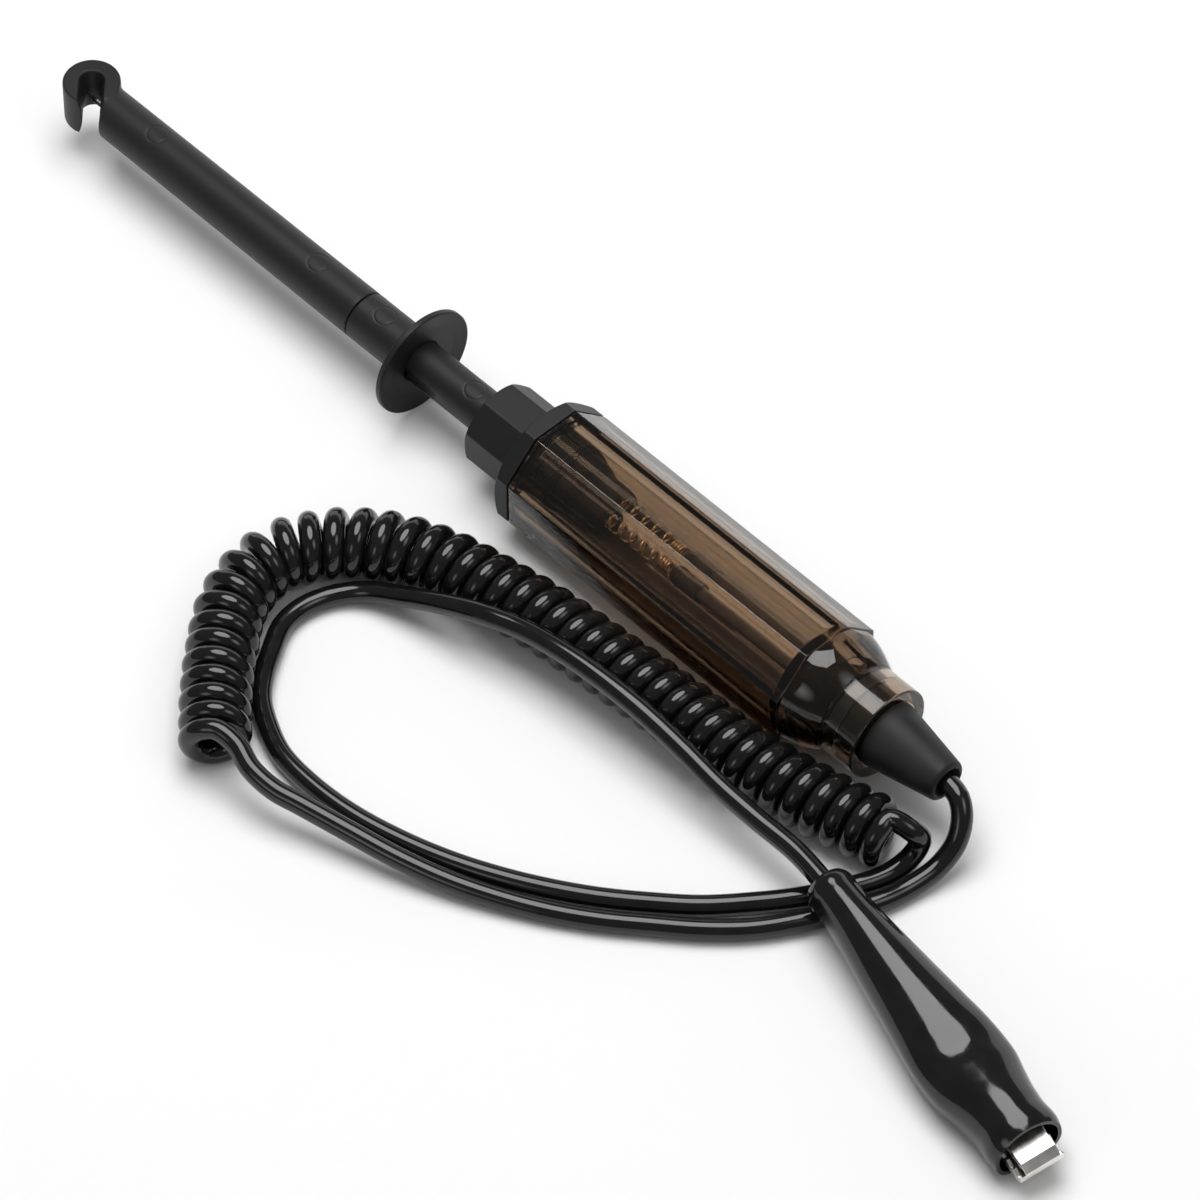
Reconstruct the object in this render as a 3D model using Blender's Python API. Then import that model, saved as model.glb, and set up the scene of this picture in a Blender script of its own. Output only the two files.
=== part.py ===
"""Hook probe circuit tester with a curly ground lead and a booted spring clip.

The tester lies on one flat of its octagonal handle, with the hook towards -X and
the lead leaving towards +X. Its axis runs at half the handle's width above the
surface. Units are metres; driving dimensions are written in millimetres.
"""

import math

import bmesh
import bpy
from mathutils import Matrix, Vector

MM = 0.001

# Clearances
GAP = 0.3 * MM
RUN = 0.12 * MM

# Handle: clear octagonal body with a round bore and a bottle neck
BODY_FLATS = 22.8 * MM
BODY_WALL = 2.9 * MM
CLEAR_LEN = 66.0 * MM
SHOULDER_LEN = 7.3 * MM
SHOULDER_SWELL = 0.12 * MM
SHOULDER_LEAN = 0.4
GROOVE_R = 8.95 * MM
NECK_R = 8.8 * MM
NECK_LEN = 7.6 * MM
NECK_BORE_R = 6.6 * MM
SEAT_BACK = 5.0 * MM
SEAT_LEN = 2.0 * MM

# Front cap: small octagon, wide band, ribbed plug and lamp nose
COLLAR_FLATS = 15.2 * MM
COLLAR_LEN = 11.8 * MM
BAND_LEN = 2.9 * MM
PLUG_LEN = 6.0 * MM
PLUG_RING = 0.9 * MM
PLUG_RIB_DEPTH = 1.7 * MM
PLUG_RIBS = 4
PLUG_RIB_W = 2.2 * MM
NOSE_LEN = 10.0 * MM
NOSE_SETBACK = 0.3 * MM
NOSE_WALL = 1.1 * MM
LAMP_BORE_R = 3.5 * MM
WINDOW_W = 2.2 * MM

# Probe tube and its hook
TUBE_R_FRONT = 4.45 * MM
TUBE_R_REAR = 4.6 * MM
TUBE_LEN = 71.2 * MM
TUBE_BORE_R = 1.9 * MM
NEEDLE_BORE_R = 0.9 * MM
NEEDLE_BORE_LEN = 4.6 * MM
HEAD_R = 5.2 * MM
HEAD_ROUND = 0.35 * MM
HOOK_GAP = 3.1 * MM
HOOK_MOUTH = 4.7 * MM
HOOK_TURN = math.radians(-45.0)

# Guide tube behind the seam, on which the flange sleeve slides
GUIDE_R = 4.0 * MM
GUIDE_BORE_R = 2.5 * MM
GUIDE_STRETCH = 18.3 * MM
SPIGOT_LEN = 10.0 * MM
SPIGOT_R = 3.2 * MM

# Flange sleeve and what it carries
SLEEVE_WALL = 0.48 * MM
SLEEVE_LEN = 15.4 * MM
FLANGE_R = 10.45 * MM
FLANGE_T = 1.3 * MM
FLANGE_DISH = 0.7 * MM
FLANGE_RIM = 0.35 * MM
POCKET_SKIN = 0.15 * MM
TRAVEL = 12.0 * MM
PIN_R = 0.9 * MM
PIN_SETBACK = 2.1 * MM
ROD_R = 1.5 * MM
ROD_COLLAR_R = 2.1 * MM
ROD_COLLAR_LEN = 6.5 * MM
NEEDLE_R = 0.55 * MM
NEEDLE_POINT = 3.2 * MM
NEEDLE_SOCKET = 5.0 * MM

# Springs
RETURN_WIRE_R = 0.28 * MM
RETURN_TURNS = 13
CONTACT_WIRE_R = 0.3 * MM
CONTACT_R = 2.15 * MM
CONTACT_LEN = 18.0 * MM
CONTACT_CLOSED = (3, 4)
CONTACT_OPEN = 5
JAW_COIL_R = 1.75 * MM
JAW_WIRE_R = 0.35 * MM
JAW_TURNS = 4

# Lamp between the two contacts
LAMP_CAP_R = 3.1 * MM
LAMP_CAP_LEN = 2.6 * MM
LAMP_GLASS_R = 2.5 * MM
LAMP_LEN = 12.4 * MM
SEAT_DISC = 1.4 * MM

# Lead inside the handle
CORD_R = 1.9 * MM
TERMINAL_R = 2.9 * MM
TERMINAL_LEN = 6.5 * MM
TERMINAL_HEAD = 1.8 * MM
TERMINAL_WALL = 0.5 * MM

# Rubber strain relief
GROMMET_LEN = 20.0 * MM
RIB_R = 7.3 * MM
RIB_LEN = 2.2 * MM
RIB_SETBACK = 5.0 * MM
CONE_LEN = 14.2 * MM
CONE_END_R = 3.9 * MM
CONE_FLARE_R = 2.9 * MM

# Curly cord, laid on the surface
COIL_R = 6.3 * MM

# Clip at the far end of the lead
CLIP_TAIL = Vector((109.9, -28.0, 8.1)) * MM
CLIP_TURN = math.radians(-12.1)
CLIP_TILT = math.radians(1.9)
CLIP_ROLL = math.radians(9.0)
BOOT_LEN = 61.0 * MM
BOOT_WALL = 1.2 * MM
SHEET = 0.6 * MM
JAW_TIP = 65.0 * MM
JAW_W = 8.4 * MM
JAW_RISE = 2.5 * MM
EAR_BACK = 12.0 * MM
LEVER_LEN = 11.0 * MM
PIVOT_AT = 36.0 * MM
PIVOT_UP = 0.4 * MM
THROAT_AHEAD = 7.0 * MM
TOOTH_DEPTH = 0.9 * MM
JAW_PIN_R = 0.9 * MM
RIVET_HEAD_R = 1.6 * MM
RIVET_HEAD_T = 0.7 * MM
CRIMP_AT = 8.0 * MM
CRIMP_LEN = 7.0 * MM
TEETH = 9

SEGMENTS = 32

# Stations along the tester, worked out from the lengths above
AXIS_Z = BODY_FLATS / 2
BODY_BORE_R = BODY_FLATS / 2 - BODY_WALL
SHOULDER_R = BODY_FLATS / 2 + SHOULDER_SWELL
PLUG_CORE_R = BODY_BORE_R - GAP - PLUG_RIB_DEPTH
NOSE_R = PLUG_CORE_R - NOSE_SETBACK
NOSE_TIP_R = LAMP_BORE_R + NOSE_WALL
OVERALL = (
    HEAD_R + TUBE_LEN + SLEEVE_LEN + GUIDE_STRETCH + COLLAR_LEN + BAND_LEN
    + CLEAR_LEN + SHOULDER_LEN + NECK_LEN + CONE_LEN
)
HEAD_X = HEAD_R - OVERALL / 2
SEAM_X = HEAD_X + TUBE_LEN
FLANGE_X = SEAM_X + SLEEVE_LEN
COLLAR_X = FLANGE_X + GUIDE_STRETCH
BAND_X = COLLAR_X + COLLAR_LEN
BODY_X = BAND_X + BAND_LEN
OCT_END_X = BODY_X + CLEAR_LEN
GROOVE_X = OCT_END_X + SHOULDER_LEN
NECK_X = GROOVE_X + NECK_LEN
CONE_X = NECK_X + CONE_LEN
SEAT_X = OCT_END_X - SEAT_BACK
PLUG_X = BODY_X + PLUG_LEN
NOSE_X = PLUG_X + NOSE_LEN
NEEDLE_REST_X = HEAD_X - HOOK_GAP / 2 - 0.3 * MM
ROD_X = HEAD_X + HOOK_GAP / 2 + NEEDLE_BORE_LEN + GAP
PIN_X = SEAM_X + PIN_SETBACK
ROD_END_X = PIN_X + ROD_COLLAR_LEN / 2
SPRING_SEAT_X = BODY_X - SEAT_DISC
LAMP_X = BODY_X + GAP
LAMP_END_X = LAMP_X + LAMP_LEN
CONTACT_X = LAMP_END_X + GAP
TERMINAL_X = CONTACT_X + CONTACT_LEN + GAP
GROMMET_X = NECK_X - GROMMET_LEN


def clear_scene():
    """Remove every object from the scene."""
    for obj in list(bpy.data.objects):
        bpy.data.objects.remove(obj, do_unlink=True)


def material(name, color, roughness, metallic=0.0, transmission=0.0):
    """Make a plain Principled material."""
    mat = bpy.data.materials.new(name)
    mat.use_nodes = True
    shader = mat.node_tree.nodes["Principled BSDF"]
    shader.inputs["Base Color"].default_value = (*color, 1.0)
    shader.inputs["Roughness"].default_value = roughness
    shader.inputs["Metallic"].default_value = metallic
    shader.inputs["Transmission Weight"].default_value = transmission
    return mat


def finish_mesh(bm, name, mat=None):
    """Turn a bmesh into an object with faces pointing out and smooth rounds."""
    bmesh.ops.remove_doubles(bm, verts=bm.verts, dist=1e-6)
    bmesh.ops.recalc_face_normals(bm, faces=bm.faces)
    mesh = bpy.data.meshes.new(name)
    bm.to_mesh(mesh)
    bm.free()
    mesh.shade_smooth()
    mesh.set_sharp_from_angle(angle=math.radians(30))
    obj = bpy.data.objects.new(name, mesh)
    bpy.context.collection.objects.link(obj)
    if mat:
        mesh.materials.append(mat)
    return obj


def turned(name, profile, mat=None, closed=False, segments=SEGMENTS):
    """Spin a profile of (x, radius) points round the tester's axis."""
    bm = bmesh.new()
    verts = [bm.verts.new((x, 0.0, r)) for x, r in profile]
    pairs = list(zip(verts, verts[1:]))
    if closed:
        pairs.append((verts[-1], verts[0]))
    edges = [bm.edges.new(pair) for pair in pairs]
    bmesh.ops.spin(
        bm, geom=verts + edges, axis=(1, 0, 0), cent=(0, 0, 0),
        steps=segments, angle=math.tau, use_merge=True,
    )
    bmesh.ops.translate(bm, verts=bm.verts, vec=(0, 0, AXIS_Z))
    return finish_mesh(bm, name, mat)


def prism(name, outline, low, high, frame=Matrix(), mat=None):
    """Extrude an outline of (a, b) points from low to high along the frame's third axis."""
    bm = bmesh.new()
    verts = [bm.verts.new((a, b, low)) for a, b in outline]
    face = bm.faces.new(verts)
    grown = bmesh.ops.extrude_face_region(bm, geom=[face])["geom"]
    tops = [v for v in grown if isinstance(v, bmesh.types.BMVert)]
    bmesh.ops.translate(bm, verts=tops, vec=(0, 0, high - low))
    bmesh.ops.transform(bm, matrix=frame, verts=bm.verts)
    return finish_mesh(bm, name, mat)


def lofted(name, rings, frame=Matrix(), mat=None):
    """Bridge rings that have equal point counts and cap both ends."""
    bm = bmesh.new()
    loops = [[bm.verts.new(p) for p in ring] for ring in rings]
    for near, far in zip(loops, loops[1:]):
        count = len(near)
        for i in range(count):
            j = (i + 1) % count
            bm.faces.new((near[i], near[j], far[j], far[i]))
    bm.faces.new(loops[0])
    bm.faces.new(reversed(loops[-1]))
    bmesh.ops.transform(bm, matrix=frame, verts=bm.verts)
    return finish_mesh(bm, name, mat)


def boolean(obj, cutter, operation="DIFFERENCE"):
    """Add an exact Boolean modifier and hide its cutter."""
    modifier = obj.modifiers.new(operation.title(), "BOOLEAN")
    modifier.operation = operation
    modifier.solver = "EXACT"
    modifier.object = cutter
    cutter.hide_render = True
    cutter.display_type = "WIRE"
    return obj


def along_axis(x=0.0):
    """Frame whose third axis is the tester's axis, starting at x."""
    return Matrix.Translation((x, 0, AXIS_Z)) @ Matrix.Rotation(math.pi / 2, 4, "Y")


def octagon(flats):
    """Eight corners of an octagon that rests on a flat."""
    radius = flats / 2 / math.cos(math.pi / 8)
    angles = [math.pi / 8 + i * math.pi / 4 for i in range(8)]
    return [(radius * math.cos(a), radius * math.sin(a)) for a in angles]


def rod(name, start, end, radius, mat=None, segments=SEGMENTS):
    """Solid cylinder along the tester's axis."""
    profile = [(start, 0), (start, radius), (end, radius), (end, 0)]
    return turned(name, profile, mat, segments=segments)


def coil_spring(name, stations, radius, wire_r, mat, origin, frame=Matrix(), sides=5, per_turn=9):
    """Wire spring whose turns pass the given stations, one list entry per turn."""
    bm = bmesh.new()
    turns = len(stations) - 1
    steps = turns * per_turn
    rings = []
    for step in range(steps + 1):
        turn, part = divmod(step, per_turn)
        here = stations[min(turn, turns)]
        ahead = stations[min(turn + 1, turns)]
        x = here + (ahead - here) * part / per_turn
        angle = math.tau * step / per_turn
        out = Vector((0, math.cos(angle), math.sin(angle)))
        centre = Vector((x, 0, 0)) + out * radius
        ring = []
        for side in range(sides):
            a = math.tau * side / sides
            side_way = out * math.cos(a) + Vector((math.sin(a), 0, 0))
            ring.append(bm.verts.new(centre + side_way * wire_r))
        rings.append(ring)
    for near, far in zip(rings, rings[1:]):
        for i in range(sides):
            j = (i + 1) % sides
            bm.faces.new((near[i], near[j], far[j], far[i]))
    bm.faces.new(rings[0])
    bm.faces.new(reversed(rings[-1]))
    bmesh.ops.transform(bm, matrix=Matrix.Translation(origin) @ frame, verts=bm.verts)
    return finish_mesh(bm, name, mat)


def smooth_points(points, step):
    """Read points about a step apart from a smooth curve through the route's own points."""
    route = [Vector(p) for p in points]
    ends = [2 * route[0] - route[1], *route, 2 * route[-1] - route[-2]]
    read = []
    for before, here, ahead, after in zip(ends, ends[1:], ends[2:], ends[3:]):
        count = max(1, round((ahead - here).length / step))
        leave = (ahead - before) / 2
        arrive = (after - here) / 2
        for i in range(count):
            t = i / count
            read.append(
                here * (2 * t**3 - 3 * t**2 + 1) + leave * (t**3 - 2 * t**2 + t)
                + ahead * (3 * t**2 - 2 * t**3) + arrive * (t**3 - t**2)
            )
    read.append(route[-1])
    return read


def tube(name, points, radius, mat, resolution):
    """Capped round tube through points."""
    curve = bpy.data.curves.new(name, "CURVE")
    curve.dimensions = "3D"
    curve.bevel_depth = radius
    curve.bevel_resolution = resolution
    curve.use_fill_caps = True
    curve.render_resolution_u = 0
    curve.materials.append(mat)
    spline = curve.splines.new("POLY")
    spline.points.add(len(points) - 1)
    for point, place in zip(spline.points, points):
        point.co = (*place, 1.0)
    obj = bpy.data.objects.new(name, curve)
    bpy.context.collection.objects.link(obj)
    return obj


def hook_outline(width, reach, steps=10):
    """Round eye that opens into a straight slot of the same width, seen from above."""
    half = width / 2
    turn = [math.pi / 2 + math.pi * i / steps for i in range(steps + 1)]
    return [(half * math.cos(a), half * math.sin(a)) for a in turn] + [(reach, -half), (reach, half)]


def make_hook_tube(mat):
    """Long probe tube with its round hook head, bored for the needle and its rod."""
    front = HEAD_X + HEAD_R * 0.35
    bore_x = HEAD_X + NEEDLE_BORE_LEN + HOOK_GAP / 2
    profile = [
        (front, 0),
        (front, TUBE_R_FRONT - 0.5 * MM),
        (HEAD_X + HEAD_R * 0.6, TUBE_R_FRONT),
        (SEAM_X, TUBE_R_REAR),
        (SEAM_X, 0),
    ]
    obj = turned("hook_tube", profile, mat)
    bm = bmesh.new()
    bmesh.ops.create_cone(
        bm, cap_ends=True, segments=SEGMENTS, radius1=HEAD_R, radius2=HEAD_R, depth=2 * TUBE_R_FRONT,
        matrix=Matrix.Translation((HEAD_X, 0, AXIS_Z)),
    )
    rims = [e for e in bm.edges if abs(e.verts[0].co.z - e.verts[1].co.z) < 1e-7]
    bmesh.ops.bevel(bm, geom=rims, offset=HEAD_ROUND, segments=2, affect="EDGES", profile=0.5)
    head = finish_mesh(bm, "hook_head_form")
    boolean(obj, head, "UNION")
    throat = []
    for height, width in ((-1.2, 1.08), (-1.0, 1.0), (0.0, 0.0), (1.0, 1.0), (1.2, 1.08)):
        gap = HOOK_GAP + (HOOK_MOUTH - HOOK_GAP) * width
        level = height * TUBE_R_FRONT
        throat.append([(x, y, level) for x, y in hook_outline(gap, 3 * HEAD_R)])
    place = Matrix.Translation((HEAD_X, 0, AXIS_Z)) @ Matrix.Rotation(HOOK_TURN, 4, "Z")
    boolean(obj, lofted("hook_throat_form", throat, place))
    bore = [
        (HEAD_X, 0),
        (HEAD_X, NEEDLE_BORE_R),
        (bore_x, NEEDLE_BORE_R),
        (bore_x, TUBE_BORE_R),
        (SEAM_X - SPIGOT_LEN - GAP, TUBE_BORE_R),
        (SEAM_X - SPIGOT_LEN - GAP, SPIGOT_R + GAP),
        (SEAM_X + GAP, SPIGOT_R + GAP),
        (SEAM_X + GAP, 0),
    ]
    boolean(obj, turned("hook_bore_form", bore, segments=24))
    return obj


def make_guide_tube(mat):
    """Narrow tube from the seam into the front cap, slotted for the cross pin."""
    end = BAND_X + BAND_LEN / 2
    front = SEAM_X - SPIGOT_LEN
    profile = [
        (front, TUBE_BORE_R),
        (front, SPIGOT_R),
        (SEAM_X + GAP, SPIGOT_R),
        (SEAM_X + GAP, GUIDE_R),
        (end, GUIDE_R),
        (end, GUIDE_BORE_R),
        (SEAM_X - GAP, GUIDE_BORE_R),
        (SEAM_X - GAP, TUBE_BORE_R),
    ]
    obj = turned("guide_tube", profile, mat, closed=True)
    side = PIN_R + GAP
    turn = [math.pi / 2 + math.pi * i / 8 for i in range(9)]
    outline = [(PIN_X + side * math.cos(a), side * math.sin(a)) for a in turn]
    outline += [(PIN_X + TRAVEL - side * math.cos(a), -side * math.sin(a)) for a in turn]
    frame = Matrix.Translation((0, 0, AXIS_Z)) @ Matrix.Rotation(math.pi / 2, 4, "X")
    boolean(obj, prism("pin_slot_form", outline, -3 * GUIDE_R, 3 * GUIDE_R, frame))
    return obj


def make_front_cap(mat):
    """Octagonal cap whose ribbed plug fills the handle's mouth and whose nose holds the lamp."""
    obj = prism("front_cap", octagon(COLLAR_FLATS), COLLAR_X, BAND_X + 0.5 * BAND_LEN, along_axis(), mat)
    band = prism("band_form", octagon(BODY_FLATS), BAND_X, BODY_X, along_axis())
    soften(band, 0.3 * MM, 2)
    boolean(obj, band, "UNION")
    plug_r = BODY_BORE_R - GAP
    step = NOSE_LEN / 10
    inner = [
        (BAND_X + BAND_LEN / 2, 0),
        (BAND_X + BAND_LEN / 2, PLUG_CORE_R),
        (PLUG_X - PLUG_RING, PLUG_CORE_R),
        (PLUG_X - PLUG_RING, plug_r),
        (PLUG_X, plug_r),
        (PLUG_X, NOSE_R + 0.5 * MM),
        (PLUG_X + 2 * step, NOSE_R + 0.4 * MM),
        (PLUG_X + 3.4 * step, NOSE_R),
        (PLUG_X + 4.6 * step, NOSE_TIP_R + (NOSE_R - NOSE_TIP_R) * 0.5625),
        (PLUG_X + 5.4 * step, NOSE_TIP_R + (NOSE_R - NOSE_TIP_R) * 0.125),
        (PLUG_X + 8.6 * step, NOSE_TIP_R),
        (NOSE_X - 0.4 * step, NOSE_TIP_R - 0.5 * MM),
        (NOSE_X, NOSE_TIP_R - 0.7 * MM),
        (NOSE_X, 0),
    ]
    boolean(obj, turned("nose_form", inner), "UNION")
    for i in range(PLUG_RIBS):
        angle = math.tau * i / PLUG_RIBS
        outline = [
            (PLUG_CORE_R - 1 * MM, -PLUG_RIB_W / 2),
            (plug_r - 0.2 * MM, -PLUG_RIB_W / 2),
            (plug_r - 0.2 * MM, PLUG_RIB_W / 2),
            (PLUG_CORE_R - 1 * MM, PLUG_RIB_W / 2),
        ]
        frame = along_axis() @ Matrix.Rotation(angle, 4, "Z")
        rib = prism(f"plug_rib_form_{i}", outline, BODY_X - 0.5 * MM, PLUG_X - PLUG_RING / 2, frame)
        boolean(obj, rib, "UNION")
    bore = [
        (COLLAR_X - GAP, 0),
        (COLLAR_X - GAP, GUIDE_R + GAP),
        (BAND_X + BAND_LEN / 2 + GAP, GUIDE_R + GAP),
        (BAND_X + BAND_LEN / 2 + GAP, LAMP_BORE_R),
        (NOSE_X - 1.2 * MM, LAMP_BORE_R),
        (NOSE_X - 1.2 * MM, CONTACT_R + 2 * CONTACT_WIRE_R + GAP),
        (NOSE_X + GAP, CONTACT_R + 2 * CONTACT_WIRE_R + GAP),
        (NOSE_X + GAP, 0),
    ]
    boolean(obj, turned("cap_bore_form", bore))
    for i in range(PLUG_RIBS // 2):
        angle = math.tau * (i + 0.5) / PLUG_RIBS
        outline = [
            (BODY_X + 0.8 * MM, -WINDOW_W / 2),
            (PLUG_X - PLUG_RING - 0.6 * MM, -WINDOW_W / 2),
            (PLUG_X - PLUG_RING - 0.6 * MM, WINDOW_W / 2),
            (BODY_X + 0.8 * MM, WINDOW_W / 2),
        ]
        frame = Matrix.Translation((0, 0, AXIS_Z)) @ Matrix.Rotation(angle, 4, "X")
        boolean(obj, prism(f"window_form_{i}", outline, -BODY_BORE_R, BODY_BORE_R, frame))
    return obj


def soften(obj, width, segments=2):
    """Round an object's sharp edges."""
    bevel = obj.modifiers.new("Edge", "BEVEL")
    bevel.width = width
    bevel.segments = segments
    bevel.limit_method = "ANGLE"
    bevel.angle_limit = math.radians(30)
    return obj


def make_clear_body(mat):
    """Thick octagonal tube that swells into a round shoulder, a groove and a neck."""
    start = BODY_X + GAP
    far = BODY_FLATS
    profile = [(start - GAP, 0), (start - GAP, far), (OCT_END_X, far)]
    steps = 7
    for i in range(steps + 1):
        share = i / steps
        fall = SHOULDER_LEAN * share + (1 - SHOULDER_LEAN) * share**2
        profile.append((OCT_END_X + SHOULDER_LEN * share, SHOULDER_R - (SHOULDER_R - GROOVE_R) * fall))
    profile += [
        (GROOVE_X + 0.5 * MM, GROOVE_R - 0.1 * MM),
        (NECK_X - 0.4 * MM, NECK_R),
        (NECK_X, NECK_R - 0.4 * MM),
        (NECK_X, 0),
    ]
    obj = prism("clear_body", octagon(BODY_FLATS), start, NECK_X + 1 * MM, along_axis(), mat)
    boolean(obj, turned("shoulder_form", profile, segments=48), "INTERSECT")
    rib_x = NECK_X - RIB_SETBACK - RIB_LEN
    bore = [
        (start - 1 * MM, 0),
        (start - 1 * MM, BODY_BORE_R),
        (SEAT_X, BODY_BORE_R),
        (SEAT_X + SEAT_LEN, NECK_BORE_R),
        (rib_x - GAP, NECK_BORE_R),
        (rib_x - GAP, RIB_R + GAP),
        (rib_x + RIB_LEN + GAP, RIB_R + GAP),
        (rib_x + RIB_LEN + GAP, NECK_BORE_R),
        (NECK_X + 2 * MM, NECK_BORE_R),
        (NECK_X + 2 * MM, 0),
    ]
    boolean(obj, turned("body_bore_form", bore))
    return obj


def make_strain_relief(mat):
    """Rubber grommet held in the neck by a rib, ending in a cone round the lead."""
    plug_r = NECK_BORE_R - GAP
    rib_x = NECK_X - RIB_SETBACK - RIB_LEN
    hole = CORD_R + GAP
    profile = [
        (GROMMET_X, hole),
        (GROMMET_X, plug_r - 0.8 * MM),
        (GROMMET_X + 0.8 * MM, plug_r),
        (rib_x, plug_r),
        (rib_x, RIB_R),
        (rib_x + RIB_LEN, RIB_R),
        (rib_x + RIB_LEN, plug_r),
        (NECK_X + GAP, plug_r),
    ]
    steps = 4
    for i in range(steps + 1):
        angle = math.pi / 2 * i / steps
        profile.append(
            (CONE_X - 1.2 * MM * (1 - math.sin(angle)), CONE_END_R - 0.9 * MM * (1 - math.cos(angle)))
        )
    profile += [
        (CONE_X, CONE_FLARE_R - 0.1 * MM),
        (CONE_X - 1.6 * MM, hole),
    ]
    return turned("strain_relief", profile, mat, closed=True)


def make_flange_sleeve(mat):
    """Sliding sleeve that ends in a thin dished flange, pocketed inside for the cross pin."""
    inner = GUIDE_R + RUN
    outer = inner + SLEEVE_WALL
    start = SEAM_X + GAP
    profile = [
        (start, inner),
        (start, outer),
        (FLANGE_X - FLANGE_T - 1.2 * MM, outer),
        (FLANGE_X - FLANGE_T - 0.4 * MM, outer + 0.5 * MM),
        (FLANGE_X - FLANGE_T + 0.1 * MM, outer + 1.8 * MM),
        (FLANGE_X - FLANGE_T, FLANGE_R - FLANGE_RIM),
        (FLANGE_X - FLANGE_T + FLANGE_RIM, FLANGE_R),
        (FLANGE_X - FLANGE_RIM, FLANGE_R),
        (FLANGE_X, FLANGE_R - FLANGE_RIM),
        (FLANGE_X - FLANGE_DISH * 0.8, outer + 2.2 * MM),
        (FLANGE_X - FLANGE_DISH, inner),
    ]
    obj = turned("flange_sleeve", profile, mat, closed=True, segments=40)
    bm = bmesh.new()
    bmesh.ops.create_cone(
        bm, cap_ends=True, segments=16, radius1=PIN_R + GAP, radius2=PIN_R + GAP, depth=2 * (outer - POCKET_SKIN),
        matrix=Matrix.Translation((PIN_X, 0, AXIS_Z)) @ Matrix.Rotation(math.pi / 2, 4, "X"),
    )
    boolean(obj, finish_mesh(bm, "pin_pocket_form"))
    return obj


def make_needle_parts(brass, steel):
    """Needle, its rod with a drilled collar, and the cross pin that pulls it."""
    needle = [
        (NEEDLE_REST_X, 0),
        (NEEDLE_REST_X + NEEDLE_POINT, NEEDLE_R),
        (ROD_X + NEEDLE_SOCKET - GAP, NEEDLE_R),
        (ROD_X + NEEDLE_SOCKET - GAP, 0),
    ]
    turned("needle", needle, steel, segments=16)
    collar_x = max(SEAM_X, PIN_X - ROD_COLLAR_LEN / 2)
    profile = [
        (ROD_X, 0),
        (ROD_X, ROD_R - 0.3 * MM),
        (ROD_X + 0.3 * MM, ROD_R),
        (collar_x, ROD_R),
        (collar_x, ROD_COLLAR_R),
        (ROD_END_X, ROD_COLLAR_R),
        (ROD_END_X, 0),
    ]
    obj = turned("needle_rod", profile, brass, segments=24)
    socket = rod("needle_socket_form", ROD_X - GAP, ROD_X + NEEDLE_SOCKET, NEEDLE_R + GAP, segments=16)
    boolean(obj, socket)
    half = GUIDE_R + RUN + SLEEVE_WALL - POCKET_SKIN - GAP
    for name, radius, length, mat in (
        ("cross_pin", PIN_R, half, steel),
        ("pin_hole_form", PIN_R + GAP, 2 * half, None),
    ):
        bm = bmesh.new()
        bmesh.ops.create_cone(
            bm, cap_ends=True, segments=16, radius1=radius, radius2=radius, depth=2 * length,
            matrix=Matrix.Translation((PIN_X, 0, AXIS_Z)) @ Matrix.Rotation(math.pi / 2, 4, "X"),
        )
        piece = finish_mesh(bm, name, mat)
        if not mat:
            boolean(obj, piece)


def make_springs(steel, brass):
    """Return spring behind the rod and contact spring behind the lamp."""
    origin = (0, 0, AXIS_Z)
    inset = GAP + RETURN_WIRE_R
    first = ROD_END_X + inset
    pitch = (SPRING_SEAT_X - inset - first) / RETURN_TURNS
    stations = [first + pitch * i for i in range(RETURN_TURNS + 1)]
    coil_spring("return_spring", stations, ROD_COLLAR_R - RETURN_WIRE_R, RETURN_WIRE_R, steel, origin)
    closed = 2 * CONTACT_WIRE_R + 0.12 * MM
    length = CONTACT_LEN - 2 * CONTACT_WIRE_R
    free = (length - closed * sum(CONTACT_CLOSED)) / CONTACT_OPEN
    place = CONTACT_X + CONTACT_WIRE_R
    stations = [place]
    for pitch in [closed] * CONTACT_CLOSED[0] + [free] * CONTACT_OPEN + [closed] * CONTACT_CLOSED[1]:
        place += pitch
        stations.append(place)
    coil_spring("contact_spring", stations, CONTACT_R, CONTACT_WIRE_R, brass, origin)


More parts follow.
